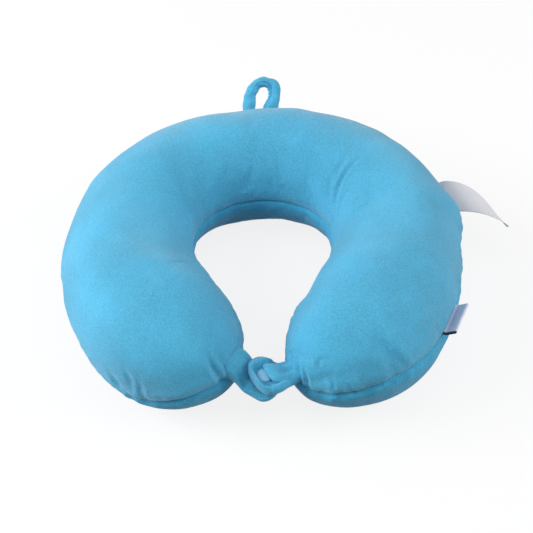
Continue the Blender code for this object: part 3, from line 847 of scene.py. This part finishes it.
cloth = {
    "arcRings": 150,
    "tipRings": 45,
    "sides": 80,
    "inset": 0.0025,
    "lowest": 0.002,
    "frames": 22,
    "cap": 0.0026,  # most that a fold stands in or out
    "amount": 0.5,  # share of the folds that is kept
    "evenOut": (6.0, 5.0),  # rings and sides over which the plain form is kept
    "settings": {
        "quality": 5,
        "mass": 0.2,
        "tension_stiffness": 20.0,
        "compression_stiffness": 20.0,
        "shear_stiffness": 10.0,
        "bending_stiffness": 0.4,
        "tension_damping": 8.0,
        "compression_damping": 8.0,
        "shear_damping": 6.0,
        "bending_damping": 0.5,
        "air_damping": 4.0,
        "use_pressure": True,
        "uniform_pressure_force": 4.0,
        "vertex_group_mass": "seam",
        "shrink_min": -0.03,  # a share of loose fabric
        "shrink_max": -0.03,
    },
}


def coverRings(arcRings, tipRings):
    arc = np.linspace(-1.0, 1.0, arcRings + 1)
    tip = 1.0 + np.linspace(0.0, 1.0, tipRings + 1)[1:]
    return np.concatenate([-tip[::-1], arc, tip])


def sectionTurns():
    # right round from the outer seam back to it, closer together near the seams
    share = np.linspace(0.0, 1.0, cover["sectionSteps"] + 1)
    share = share - cover["crowding"] * np.sin(fullTurn * share) / fullTurn
    half = share * math.pi
    return np.concatenate([half, fullTurn - half[-2::-1]])


def blur(values, sigma, axis, wrap):
    reachOut = int(sigma * 3)
    weights = np.exp(-0.5 * (np.arange(-reachOut, reachOut + 1) / sigma) ** 2)
    pad = [(reachOut, reachOut) if axis == at else (0, 0) for at in range(values.ndim)]
    wide = np.pad(values, pad, mode="wrap" if wrap else "reflect")
    return np.apply_along_axis(np.convolve, axis, wide, weights / weights.sum(), mode="valid")


def looseCover(start):
    # closed skin over the rings, with the rows of its seam in a group
    rings, sides = start.shape[0] - 2, start.shape[1]
    count = rings * sides
    index = np.arange(count).reshape(rings, sides)
    ahead = np.roll(index, -1, axis=1)
    faces = np.stack([index[:-1], index[1:], ahead[1:], ahead[:-1]], -1).reshape(-1, 4).tolist()
    for pole, ring, along in ((count, index[0], ahead[0]), (count + 1, ahead[-1], index[-1])):
        faces += [[pole, int(a), int(b)] for a, b in zip(ring, along)]
    points = np.concatenate([start[1:-1].reshape(-1, 3), start[0, :1], start[-1, :1]])
    piece = cleanMesh(meshObject("looseCover", points, faces, looks["top"]))
    held = np.concatenate([index[:, 0], index[:, sides // 2], [count, count + 1]])
    piece.vertex_groups.new(name="seam").add(held.tolist(), 1.0, "REPLACE")
    return piece


def blowUp(piece):
    # runs the cloth and gives the points where it ends
    modifier = piece.modifiers.new("Cloth", "CLOTH")
    for name, value in cloth["settings"].items():
        setattr(modifier.settings, name, value)
    modifier.settings.effector_weights.gravity = 0.0
    modifier.collision_settings.use_collision = False
    modifier.point_cache.frame_start = 1
    modifier.point_cache.frame_end = cloth["frames"]
    scene = bpy.context.scene
    for step in range(1, cloth["frames"] + 1):
        scene.frame_set(step)
    blown = piece.evaluated_get(bpy.context.evaluated_depsgraph_get())
    flat = np.zeros(len(blown.data.vertices) * 3)
    blown.data.vertices.foreach_get("co", flat)
    mesh = piece.data
    bpy.data.objects.remove(piece)
    bpy.data.meshes.remove(mesh)
    scene.frame_set(1)
    return flat.reshape(-1, 3)


def inflateCover(places, turns):
    # loose cover blown up over the form, held at its seam: gives how far its folds stand in or out
    rings = coverRings(cloth["arcRings"], cloth["tipRings"])
    sides = turnsRound(cloth["sides"])
    plain = layFlat(coverPoints(rings[:, None], sides[None, :]))
    moved = layFlat(coverPoints(rings[:, None], sides[None, :], cloth["inset"]), cloth["lowest"])
    moved[1:-1] = blowUp(looseCover(moved))[:-2].reshape(len(rings) - 2, len(sides), 3)
    normals = tubeNormals(np.concatenate([plain, plain[:, :1]], axis=1))[:, :-1]
    height = np.sum((moved - plain) * normals, axis=-1)
    even = blur(blur(height, cloth["evenOut"][0], 0, False), cloth["evenOut"][1], 1, True)
    folds = cloth["cap"] * np.tanh((height - even) * cloth["amount"] / cloth["cap"])
    print(f"cover blown up, folds to {np.abs(folds).max() / mm:.1f} mm")
    ringAt = np.interp(places, rings, np.arange(len(rings)))
    sideAt = turns / fullTurn * len(sides)
    folds = np.concatenate([folds[:, -1:], folds, folds[:, :2]], axis=1)
    return resample(resample(folds, ringAt, 0), sideAt + 1, 1)


def addCreases(points, depth):
    lip, lipAt, lipWide = cover["creaseLip"]
    least, power = cover["creaseEnds"]
    for way, deep, wide in cover["creases"]:
        line = smoothPath(way, cover["creaseSteps"])
        line = coverPoints(line[:, 0], np.radians(line[:, 1]))
        near = np.linalg.norm(points - line.mean(axis=0), axis=-1) < cover["creaseNear"]
        gap = np.linalg.norm(points[near][:, None] - line[None], axis=-1)
        share = np.clip(gap.argmin(axis=1) / (len(line) - 1), least, 1.0 - least)
        gap = gap.min(axis=1) / wide
        fold = hump(gap, 1.0) - lip * hump(gap - lipAt, lipWide)
        depth[near] -= deep * np.sin(share * math.pi) ** power * fold
    return depth


def coverLattice():
    places, turns = coverRings(cover["arcRings"], cover["tipRings"]), sectionTurns()
    place, turn = places[:, None], turns[None, :]
    points = layFlat(coverPoints(place, turn))
    normals = tubeNormals(points)
    run = np.stack([runAlong(row) for row in points])
    half = cover["sectionSteps"]
    fromOuter = np.minimum(run, run[:, -1:] - run)
    fromInner = np.abs(run - run[:, half:half + 1])
    fromSeam = np.minimum(fromOuter, fromInner)
    groove, grooveWide, groovePower = cover["groove"]
    shoulder, shoulderAt, shoulderWide = cover["shoulder"]
    depth = shoulder * hump(fromSeam - shoulderAt, shoulderWide)
    depth = depth - groove * hump(fromSeam, grooveWide, groovePower)
    tipFade = ease((2.0 - np.abs(place)) / cover["tipFade"])
    pucker, onBack = cover["pucker"], cover["puckerOnBack"]
    strong = onBack + (1.0 - onBack) * grow(np.abs(place), *cover["puckerTips"])
    for column, fromEdge, seed in zip((0, half), (fromOuter, fromInner), pucker["seeds"]):
        wave = waveNoise(points[:, column], pucker["spacing"], seed)[:, None]
        shape = hump(fromEdge, pucker["reach"], pucker["power"]) * ease(fromEdge / pucker["rise"])
        depth += pucker["depth"] * wave * strong * shape * tipFade
    for size, tall, seed in cover["lumps"]:
        depth += tall * waveNoise(points, size, seed) * ease(fromSeam / cover["lumpFade"])
    depth += inflateCover(places, turns) * tipFade * ease(fromSeam / cover["foldFade"])
    points = points + normals * addCreases(points, depth)[..., None]
    outward = np.maximum(np.cos(turn), 0.0) * zipOpen(place)
    way = np.where(np.arange(len(turns)) <= half, 1.0, -1.0)
    points[..., 2] += way * zipper["rimLift"] * outward ** zipper["rimPower"]
    points[..., 2] = np.maximum(points[..., 2], 0.0)
    return points, normals, places


def addCoverPanel(name, columns, material, node):
    outer = shell[:, columns]
    inner = outer - shellOut[:, columns] * cover["thickness"]
    index, faces = shellFaces(*outer.shape[:2])
    for edge in (index[:, 0], index[::-1, -1]):
        faces.append(np.stack([edge[:-1], edge[:-1] + index.size, edge[1:] + index.size, edge[1:]], -1))
    points = np.concatenate([outer.reshape(-1, 3), inner.reshape(-1, 3)])
    piece = cleanMesh(meshObject(name, points, np.concatenate(faces).tolist(), looks[material]))
    dress(piece, node, "pillow")


shell, shellOut, shellPlaces = coverLattice()
seamColumn = cover["sectionSteps"]
addCoverPanel("coverTop", slice(None, seamColumn + 1), "top", "top_panel")
addCoverPanel("coverBottom", slice(seamColumn, None), "bottom", "bottom_panel")
print("cover made")


# thread in the seam

stitch = {
    "length": 0.0032,
    "radius": 0.00042,
    "wave": 0.0004,
    "sink": 0.0002,
    "sides": 6,
    "step": 0.0005,
    "pastLoop": 0.012,  # place where it ends, at the foot of the loop
}


def addSeamThread():
    # from the zip's end round both tips and back to the loop, down in the groove
    zipEnd = -(zipper["end"] + zipper["rimOpen"]) / arcTurn
    outerLeft = np.flatnonzero(shellPlaces <= zipEnd)[::-1]
    inner = np.flatnonzero(shellPlaces > -2.0)
    outerRight = np.flatnonzero(shellPlaces >= stitch["pastLoop"])[::-1][1:]
    rings = np.concatenate([outerLeft, inner, outerRight])
    columns = np.repeat([0, seamColumn, 0], [len(outerLeft), len(inner), len(outerRight)])
    run = runAlong(shell[rings, columns])
    at = np.arange(0.0, run[-1], stitch["step"])
    path, outward = (
        np.stack([np.interp(at, run, values[rings, columns, axis]) for axis in range(3)], -1)
        for values in (shell, shellOut)
    )
    wave = np.cos(fullTurn * at / stitch["length"])
    path = path + outward * (wave * stitch["wave"] - stitch["sink"])[:, None]
    normals = np.tile(upward, (len(path), 1))
    rows = tubeRows(path, normals, stitch["radius"], stitch["radius"], stitch["sides"])
    dress(ringMesh("seamStitch", rows, looks["thread"]), "seam_thread", "pillow")


# foam block inside the cover

foam = {
    "inset": 0.0068,
    "rings": 150,
    "tipRings": 34,
    "sides": 72,
    "hollow": 0.0040,  # depth behind the zip
    "hollowPower": 12,
    "lowest": 0.0032,
    "fill": 1.0,
}


def addFoam():
    place = coverRings(foam["rings"], foam["tipRings"])[:, None]
    turn = np.linspace(0, fullTurn, foam["sides"] + 1)[None, :]
    points = layFlat(coverPoints(place, turn))
    points = layFlat(points - tubeNormals(points) * foam["inset"], foam["lowest"])[:, :-1]
    share = np.maximum(np.cos(turn[:, :-1]), 0.0) ** foam["hollowPower"] * zipOpen(place)
    points[..., :2] -= ringPlace(place)["out"] * (share * foam["hollow"])[..., None]
    piece = ringMesh("foamBlock", points, looks["foam"], caps=False)
    dress(piece, "foam_core", "pillow")


# hanging loop at the back

loop = {
    "root": (0.0, 0.0446, 0.0437),
    "tilt": 40.0,
    # middle of the folded strip in its own plane, and half its width, in millimetres
    "line": (
        (-6.4, -4.0, 3.4), (-9.6, 4.0, 4.4), (-11.3, 13.0, 5.2), (-10.9, 18.9, 5.2), (-9.8, 26.0, 5.0),
        (-8.0, 30.8, 4.5), (-5.4, 34.3, 4.1), (-2.0, 36.4, 4.0), (1.6, 37.0, 4.2), (5.2, 36.3, 4.5),
        (8.2, 34.3, 4.9), (9.9, 31.0, 5.1), (9.6, 24.9, 5.3), (7.8, 18.9, 5.7), (6.4, 13.0, 5.8),
        (5.6, 4.0, 4.6), (5.0, -4.0, 3.4),
    ),
    "thick": 0.0039,
    "footThick": (0.45, 0.012),  # share of the thickness at the seam, and where it is full
    "uneven": (0.08, 17.0),
    "twist": 0.22,
    "lumps": ((0.013, 0.00030, 21), (0.006, 0.00016, 22)),  # size, height, seed
    "fold": (0.0015, 0.17),  # depth and width of the fold line
    "foldWay": (1.05, 0.18, 9.0),  # its place round the strip, how far it strays and how often
    "foldLeast": 0.25,  # share of that depth on the first half
    "foldFrom": (0.42, 0.15),
    "dimple": (0.00035, 30, 6),  # depth, count and how narrow the dimples of the stitches are
    "dimpleFrom": (0.016, 0.010),
    "bendOver": (-0.002, 0.010),
    "rings": 220,
    "sides": 56,
    "fill": 0.5,
}


def loopRelief(rows, flat, share):
    # the strip is folded and sewn: a fold line on the front, small dimples of the stitches inside
    turn = turnsRound(loop["sides"])
    relief = sum(waveNoise(rows, size, seed) * tall for size, tall, seed in loop["lumps"])
    around, stray, often = loop["foldWay"]
    lineAt = fullTurn - around + stray * np.sin(share * often)
    deep, wide = loop["fold"]
    least = loop["foldLeast"]
    fold = hump(turn[None, :] - lineAt[:, None], wide)
    fold = fold * (least + (1 - least) * grow(share, *loop["foldFrom"]))[:, None]
    tall, count, power = loop["dimple"]
    inside = np.maximum(np.cos(turn), 0.0) ** power
    stitches = np.cos(share * fullTurn * count) * grow(flat[:, 1], *loop["dimpleFrom"])
    return relief - deep * fold + tall * stitches[:, None] * inside[None, :]


def addLoop():
    tilt = math.radians(loop["tilt"])
    along = np.array([0.0, math.cos(tilt), math.sin(tilt)])
    flat = smoothPath(np.array(loop["line"]) * mm, loop["rings"])
    path = flat[:, :1] * [1.0, 0.0, 0.0] + flat[:, 1:2] * along + loop["root"]
    plane = np.tile([0.0, -math.sin(tilt), math.cos(tilt)], (len(path), 1))
    across = unit(np.cross(np.gradient(path, axis=0), plane))
    share = np.linspace(0.0, 1.0, len(path))
    twist = loop["twist"] * np.sin(share * fullTurn)
    across = turned(across, plane, twist[:, None])
    foot, full = loop["footThick"]
    uneven, often = loop["uneven"]
    thick = loop["thick"] * (foot + (1 - foot) * ease(flat[:, 1] / full))
    thick = thick * (1.0 + uneven * np.sin(share * often))
    rows = tubeRows(path, across, flat[:, 2], thick, loop["sides"])
    rows = rows + unit(rows - path[:, None]) * loopRelief(rows, flat, share)[..., None]
    piece = ringMesh("backLoop", rows, looks["loop"])
    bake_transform(piece)
    dress(piece, "hang_loop")


# straps that snap together at the front

straps = {
    "root": (0.017031, -0.209645, 0.0457),
    "along": (-0.885099, -0.465403),
    "snapAt": 0.019242,
    "rings": 130,
    "sides": 80,
    "tuck": 0.006,
    "corner": 0.74,
    "roundEnd": (0.004, 2.7, 0.6),  # start before the stud, power, and power of the thickness
    "swell": (0.002, 0.009),  # where the underside of the upper strap comes up from the seam
    "rootDepth": 0.0036,
    "face": 0.0004,  # the two straps meet just off the middle
    "dip": (0.0067, 4),  # radius and power of the hollows round the stud and the lower cap
    "dipFace": 0.0021,
    "dipCap": 0.0031,
    "pleat": (0.0062, 0.8, 0.003, 0.006, 0.0006),  # spacing, phase, place, reach and height
    "lumps": (0.014, 0.00025, 31),  # size, height, seed
    "stray": (0.018, 0.00035, 33),
    "bendOver": (-0.0015, 0.0075),
    "fill": 0.6,
    "waist": 0.5,  # the upper strap is narrower behind, where it leaves the seam
    "waistFrom": (0.001, 0.016),
    # upper strap: middle line of its top from the root to the end, as a fold laps over the cap
    "foldedTop": (
        (-6.0, 8.0), (-2.0, 7.2), (2.0, 6.5), (6.0, 7.0), (9.5, 8.6), (12.5, 10.6), (15.6, 11.6),
        (18.0, 11.0), (18.3, 10.0), (16.6, 9.2), (14.4, 8.7), (13.3, 7.7), (14.2, 6.6), (17.0, 6.4),
        (20.5, 6.4), (23.6, 6.6), (25.0, 8.0), (25.6, 10.6), (26.4, 12.6), (27.4, 13.0), (28.2, 11.4),
    ),
    "foldEdge": (1.02, 0.0065),  # it fades out towards the edges
    "foldBand": (0.0115, 0.0015, 0.004),  # half width of the fold, its middle, and how it fades
    "foldPower": 0.35,
    "upperTop": (
        (-6.0, 9.0), (0.0, 7.8), (5.0, 7.6), (10.0, 9.6), (16.0, 11.2), (22.0, 12.2), (26.0, 12.8),
        (28.2, 11.4),
    ),
    "upperEnd": 0.0282,
    "upperHalf": ((-6.0, 12.0), (2.0, 12.2), (9.0, 14.2), (16.0, 15.8), (22.0, 16.4), (28.2, 16.2)),
    # lower strap
    "lowerTop": ((-6.0, 15.0), (-2.0, 13.4), (2.0, 9.6), (5.5, 4.4), (8.5, 0.6), (11.0, -0.4), (32.0, -0.4)),
    "lowerEnd": 0.0300,
    "lowerHalf": ((-6.0, 12.0), (2.0, 11.6), (9.0, 11.4), (15.0, 12.2), (22.0, 13.2), (30.0, 13.2)),
    "lowerDepth": (
        (-6.0, 3.2), (0.0, 3.6), (5.0, 5.0), (10.0, 7.0), (16.0, 9.2), (22.0, 9.2), (26.0, 7.6), (30.0, 6.6),
    ),
}


def knotLine(knots, at):
    table = np.array(knots)
    return curve(table[:, 0], table[:, 1], at / mm)[:, None] * mm


def foldTop(along, across, half, top, sine):
    # the middle of the upper strap's top follows the fold, its sides stay plain
    folded = smoothPath(np.array(straps["foldedTop"]) * mm, straps["rings"])
    wider, edge = straps["foldEdge"]
    band, middle, fade = straps["foldBand"]
    inside = grow(half * wider, np.abs(across), edge) * grow(band, np.abs(across - middle), fade)
    topAlong = along * (1 - inside) + folded[:, :1] * inside
    bent = np.where(sine > 0, along + (topAlong - along) * np.abs(sine) ** straps["foldPower"], along)
    return bent, top * (1 - inside) + folded[:, 1:] * inside


def strapPoints(side):
    name = "upper" if side > 0 else "lower"
    end = straps[name + "End"]
    run = -straps["tuck"] + (end + straps["tuck"]) * np.linspace(0.0, 1.0, straps["rings"])
    before, power, follow = straps["roundEnd"]
    beyond = np.clip((run - straps["snapAt"] + before) / (end - straps["snapAt"] + before), 0.0, 1.0)
    rounding = (np.maximum(1.0 - beyond ** power, 0.0) ** (1 / power))[:, None]
    half = knotLine(straps[name + "Half"], run) * rounding
    plainTop = knotLine(straps[name + "Top"], run)
    turn = turnsRound(straps["sides"])
    cosine, sine = np.cos(turn), np.sin(turn)
    across = half * np.sign(cosine) * np.abs(cosine) ** straps["corner"]
    along = np.repeat(run[:, None], straps["sides"], axis=1)
    if side > 0:
        narrow = 1.0 - straps["waist"] * (1.0 - grow(run, *straps["waistFrom"]))
        across = np.where(across < 0, across * narrow[:, None], across)
        swell = grow(run, *straps["swell"])
        bottom = (straps["face"] * swell - straps["rootDepth"] * (1 - swell))[:, None]
        along, top = foldTop(along, across, half, plainTop, sine)
    else:
        top, bottom = plainTop, -knotLine(straps["lowerDepth"], run)
    # hollows round the stud, and round the cap under the lower strap
    dip = hump(np.hypot(along - straps["snapAt"], across), *straps["dip"])
    if side > 0:
        bottom = bottom + straps["dipFace"] * dip
    else:
        top = top - straps["dipFace"] * dip
        bottom = bottom + straps["dipCap"] * dip
    middle = (plainTop + bottom) / 2
    lift = np.abs(sine) ** straps["corner"] * rounding ** follow
    height = np.where(sine > 0, middle + (top - middle) * lift, middle - (middle - bottom) * lift)
    flat = np.stack([along, across, height], -1)
    spacing, phase, pleatAt, pleatReach, tall = straps["pleat"]
    pleat = np.sin(across * fullTurn / spacing + phase * side) * hump(along - pleatAt, pleatReach)
    size, lump, seed = straps["lumps"]
    flat[..., 2] += np.maximum(sine, 0.0) * (pleat * tall + waveNoise(flat, size, seed + int(side)) * lump)
    size, stray, seed = straps["stray"]
    flat[..., 1] += waveNoise(flat, size, seed + int(side)) * stray * rounding
    return flat


def addStrap(name, side, node):
    flat = strapPoints(side)
    ahead = np.array([side * straps["along"][0], straps["along"][1], 0.0])
    root = np.array(straps["root"]) * [side, 1.0, 1.0]
    points = root + flat[..., :1] * ahead + flat[..., 1:2] * np.cross(upward, ahead) + flat[..., 2:] * upward
    piece = ringMesh(name, points, looks["strap"])
    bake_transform(piece)
    dress(piece, node)


# press stud between the straps

snap = {
    "centre": (0.0, -0.218601, 0.0457),
    "steps": 56,
    "edge": (0.00012, 2),
    # radius and height, in millimetres
    "cap": (
        (0.0, 8.45), (1.6, 8.42), (3.2, 8.28), (4.6, 7.98), (5.35, 7.6), (5.6, 7.2), (5.6, 6.6),
        (5.2, 6.4), (0.0, 6.4),
    ),
    "socket": (
        (2.8, -0.75), (4.9, -0.75), (5.3, -0.4), (5.3, 1.3), (4.6, 2.1), (1.3, 2.25), (1.3, 1.45),
        (2.6, 1.45), (2.8, 1.1),
    ),
    "stud": (
        (0.0, -2.25), (4.9, -2.25), (5.3, -1.95), (5.3, -1.3), (4.9, -1.05), (2.4, -1.05), (1.8, -0.8),
        (2.0, -0.2), (2.1, 0.15), (1.9, 0.6), (1.4, 0.85), (0.0, 0.85),
    ),
}


def addSnapPiece(name, profile, body, node, flip=1.0):
    # turned shape about the upright line through the stud
    turn = turnsRound(snap["steps"])
    radius, height = np.array(profile).T[:, :, None] * mm
    rows = np.stack(np.broadcast_arrays(np.cos(turn) * radius, np.sin(turn) * radius, height * flip), -1)
    closed = profile[0][0] > 0
    piece = ringMesh(name, rows + snap["centre"], looks["plastic"], closed=closed, caps=False)
    softenEdges(piece, *snap["edge"])
    dress(piece, node, body)


# labels sewn into the outer seam

careTag = {
    "angle": 66.0,
    "shift": -0.0019,
    "width": 0.030,
    "length": 0.0605,
    "tuck": 0.0035,
    "bendAll": 0.061,  # length over which yaw, droop and twist grow
    "yaw": (-36.0, -26.2),  # turn along the seam at the root, and how it grows, in degrees
    "droop": (-31.0, 110.0, -56.0),
    "leave": (-0.001, 0.004),  # it leaves the seam straight
    "twist": (15.4, 0.09),  # in degrees, and where it starts
    "bow": 0.0012,
    "bendOver": 0.006,
    "thickness": 0.00035,
    "steps": (56, 26),
}
sideTag = {
    "angle": 118.5,
    "width": 0.030,
    "length": 0.0088,
    "tilt": 38.0,
    "tuck": 0.0030,
    "leave": (-0.001, 0.003),
    "bow": (0.0008, 0.01),
    "bendOver": 0.004,
    "thickness": 0.00045,
    "gap": 0.0009,
    "stripe": 0.0011,
    "steps": (26, 30),
}


def seamFrame(degrees, near=0.004):
    # point on the outer seam of the right side, and its outward and along ways
    place = degrees / arcTurn
    before, point, after = coverPoints(np.array([place - near, place, place + near]), np.zeros(3))
    along = unit(before - after)
    return point, unit(np.array([along[1], -along[0], 0.0])), along


def addTag(name, label, points, look, point, out, body, node, slot):
    piece = sheetPiece(name, points, label["thickness"], looks[look])
    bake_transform(piece)
    return dress(piece, node)


def addCareTag():
    point, out, along = seamFrame(careTag["angle"])
    point = point + along * careTag["shift"]
    rows, steps = careTag["steps"]
    run = np.linspace(-careTag["tuck"], careTag["length"], rows)
    share = np.maximum(run, 0.0) / careTag["bendAll"]
    leave = grow(run, *careTag["leave"])
    yaw = np.radians(careTag["yaw"][0] + careTag["yaw"][1] * share) * leave
    droop = np.radians(np.polyval(careTag["droop"][::-1], share)) * leave
    level = turned(out, along, yaw[:, None])
    ahead = turned(level, -upward, droop[:, None])
    steady = np.cumsum((ahead[1:] + ahead[:-1]) / 2 * np.diff(run)[:, None], axis=0)
    centre = np.concatenate([np.zeros((1, 3)), steady])
    centre = centre - centre[int(np.argmin(np.abs(run)))] + point
    wideWay = unit(along - ahead * (ahead @ along)[:, None])
    twist, twistFrom = careTag["twist"]
    twist = np.radians(twist) * grow(share, twistFrom, 1.0 - twistFrom)
    face = np.cross(wideWay, ahead)
    wideWay = turned(wideWay, face, twist[:, None])
    across = np.linspace(-0.5, 0.5, steps)
    bow = careTag["bow"] * np.sin(share * math.pi)[:, None] * np.cos(across * math.pi)[None, :]
    points = centre[:, None] + wideWay[:, None] * (across * careTag["width"])[None, :, None]
    points = points - face[:, None] * bow[..., None]
    names = "care_label_body", "care_label", "care_satin"
    piece = addTag("careTag", careTag, points, "satin", point, out, *names)


def addSideTag():
    point, out, along = seamFrame(sideTag["angle"])
    rows, steps = sideTag["steps"]
    half = sideTag["gap"] / 2 + sideTag["thickness"]
    straight = sideTag["length"] - half + sideTag["tuck"]
    length = 2 * straight + math.pi * half
    run = np.linspace(0.0, length, rows * 2)
    turn = np.clip((run - straight) / half, 0.0, math.pi)
    outward = np.where(run < straight, run, straight + half * np.sin(turn))
    outward = np.where(run > length - straight, length - run, outward) - sideTag["tuck"]
    height = half * np.cos(turn)
    across = np.linspace(-0.5, 0.5, steps)
    bow, bowFull = sideTag["bow"]
    bow = bow * np.cos(across * math.pi)[None, :] * np.clip(outward / bowFull, 0, 1)[:, None]
    tilt = np.radians(sideTag["tilt"]) * grow(outward, *sideTag["leave"])
    forward, lifted = turned(outward, -height, tilt), turned(height, outward, tilt)
    points = point + out * forward[:, None, None] + along * (across * sideTag["width"])[None, :, None]
    points = points + upward * (lifted[:, None] + bow)[..., None]
    names = "side_label_body", "side_label", "woven_label"
    piece = addTag("sideTag", sideTag, points, "woven", point, out, *names)
    # faces past that edge take the very dark band at one end of the label
    piece.data.materials.append(looks["navy"])
    edge = Vector(point - along * (sideTag["width"] / 2 - sideTag["stripe"]))
    for face in piece.data.polygons:
        face.material_index = int((face.center - edge).dot(Vector(along)) < 0)


# zip in the outer seam, left of the loop

def zipPoint(radius, degrees, height):
    angle = np.radians(90.0 + degrees)
    flat = radius * np.cos(angle), radius * np.sin(angle), zipper["height"] + height
    points = np.stack(np.broadcast_arrays(*flat), -1)
    points[..., :2] += outerCentre
    return points


def addTape(name, sign):
    rows, steps = zipper["tapeSteps"]
    runOn = zipper["tapeRunOn"]
    degrees = np.linspace(zipper["start"] - runOn, zipper["end"] + runOn, rows)[:, None]
    rise = np.linspace(0.0, 1.0, steps)[None, :]
    tall, beadAt, beadWide = zipper["tapeBead"]
    lean = math.tan(math.radians(zipper["tapeLean"])) * zipper["tapeWidth"]
    radius = zipper["tapeRadius"] + tall * hump(rise - beadAt, beadWide) - lean * rise
    points = zipPoint(radius, degrees, sign * (zipper["tapeGap"] + zipper["tapeWidth"] * rise))
    if sign < 0:
        points = points[:, ::-1]
    piece = sheetPiece(f"zipTape{name}", points, zipper["tapeThick"], looks["tape"])
    dress(piece, f"zip_{name.lower()}_tape", "pillow")


def addCoil(name, sign):
    clear = math.degrees(zipper["stop"] / form["outerRadius"]) * zipper["coilEnd"]
    begin, finish = zipper["start"] + clear, zipper["end"] - clear
    turns = int(math.radians(finish - begin) * form["outerRadius"] / zipper["pitch"])
    phase = np.linspace(0, fullTurn * turns, turns * zipper["coilSteps"])
    shift = 0.0 if sign > 0 else 0.5  # the turns of one half lie between those of the other
    degrees = begin + (finish - begin) * (phase / fullTurn + shift) / (turns + 0.5)
    near, far = zipper["coilReach"]
    height = sign * ((near + far) / 2 - (far - near) / 2 * np.cos(phase))
    radius = zipper["coilRadius"] + zipper["coilDepth"] / 2 * np.sin(phase)
    normals = upward + zipPoint(1.0, degrees, 0.0) * zipper["wireLean"]
    wire = zipper["wire"]
    rows = tubeRows(zipPoint(radius, degrees, height), normals, wire, wire, zipper["wireSides"])
    dress(ringMesh(f"zipCoil{name}", rows, looks["nylon"]), f"zip_{name.lower()}_coil", "pillow")


addSeamThread()
addFoam()
print("thread and foam made")
addLoop()
addStrap("rightStrap", 1.0, "right_strap")
addStrap("leftStrap", -1.0, "left_strap")
print("loop and straps made")
addSnapPiece("snapCapUpper", snap["cap"], "right_strap_body", "snap_upper_cap")
addSnapPiece("snapSocket", snap["socket"], "right_strap_body", "snap_socket")
addSnapPiece("snapStud", snap["stud"], "left_strap_body", "snap_stud")
addSnapPiece("snapCapLower", snap["cap"], "left_strap_body", "snap_lower_cap", flip=-1.0)
addCareTag()
addSideTag()
print("press stud and labels made")
for half, sign in (("Upper", 1.0), ("Lower", -1.0)):
    addTape(half, sign)
    addCoil(half, sign)
for node in ("zip_top_stop", "zip_bottom_stop", "zip_slider", "zip_pull"):
    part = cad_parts[node]
    part.data.materials.clear()
    part.data.materials.append(looks["enamel"])
    part.modifiers.new("joinFaces", "WELD").merge_threshold = zipper["joinWithin"]
    softenEdges(part, *zipper["cadEdge"])
print("zip made")
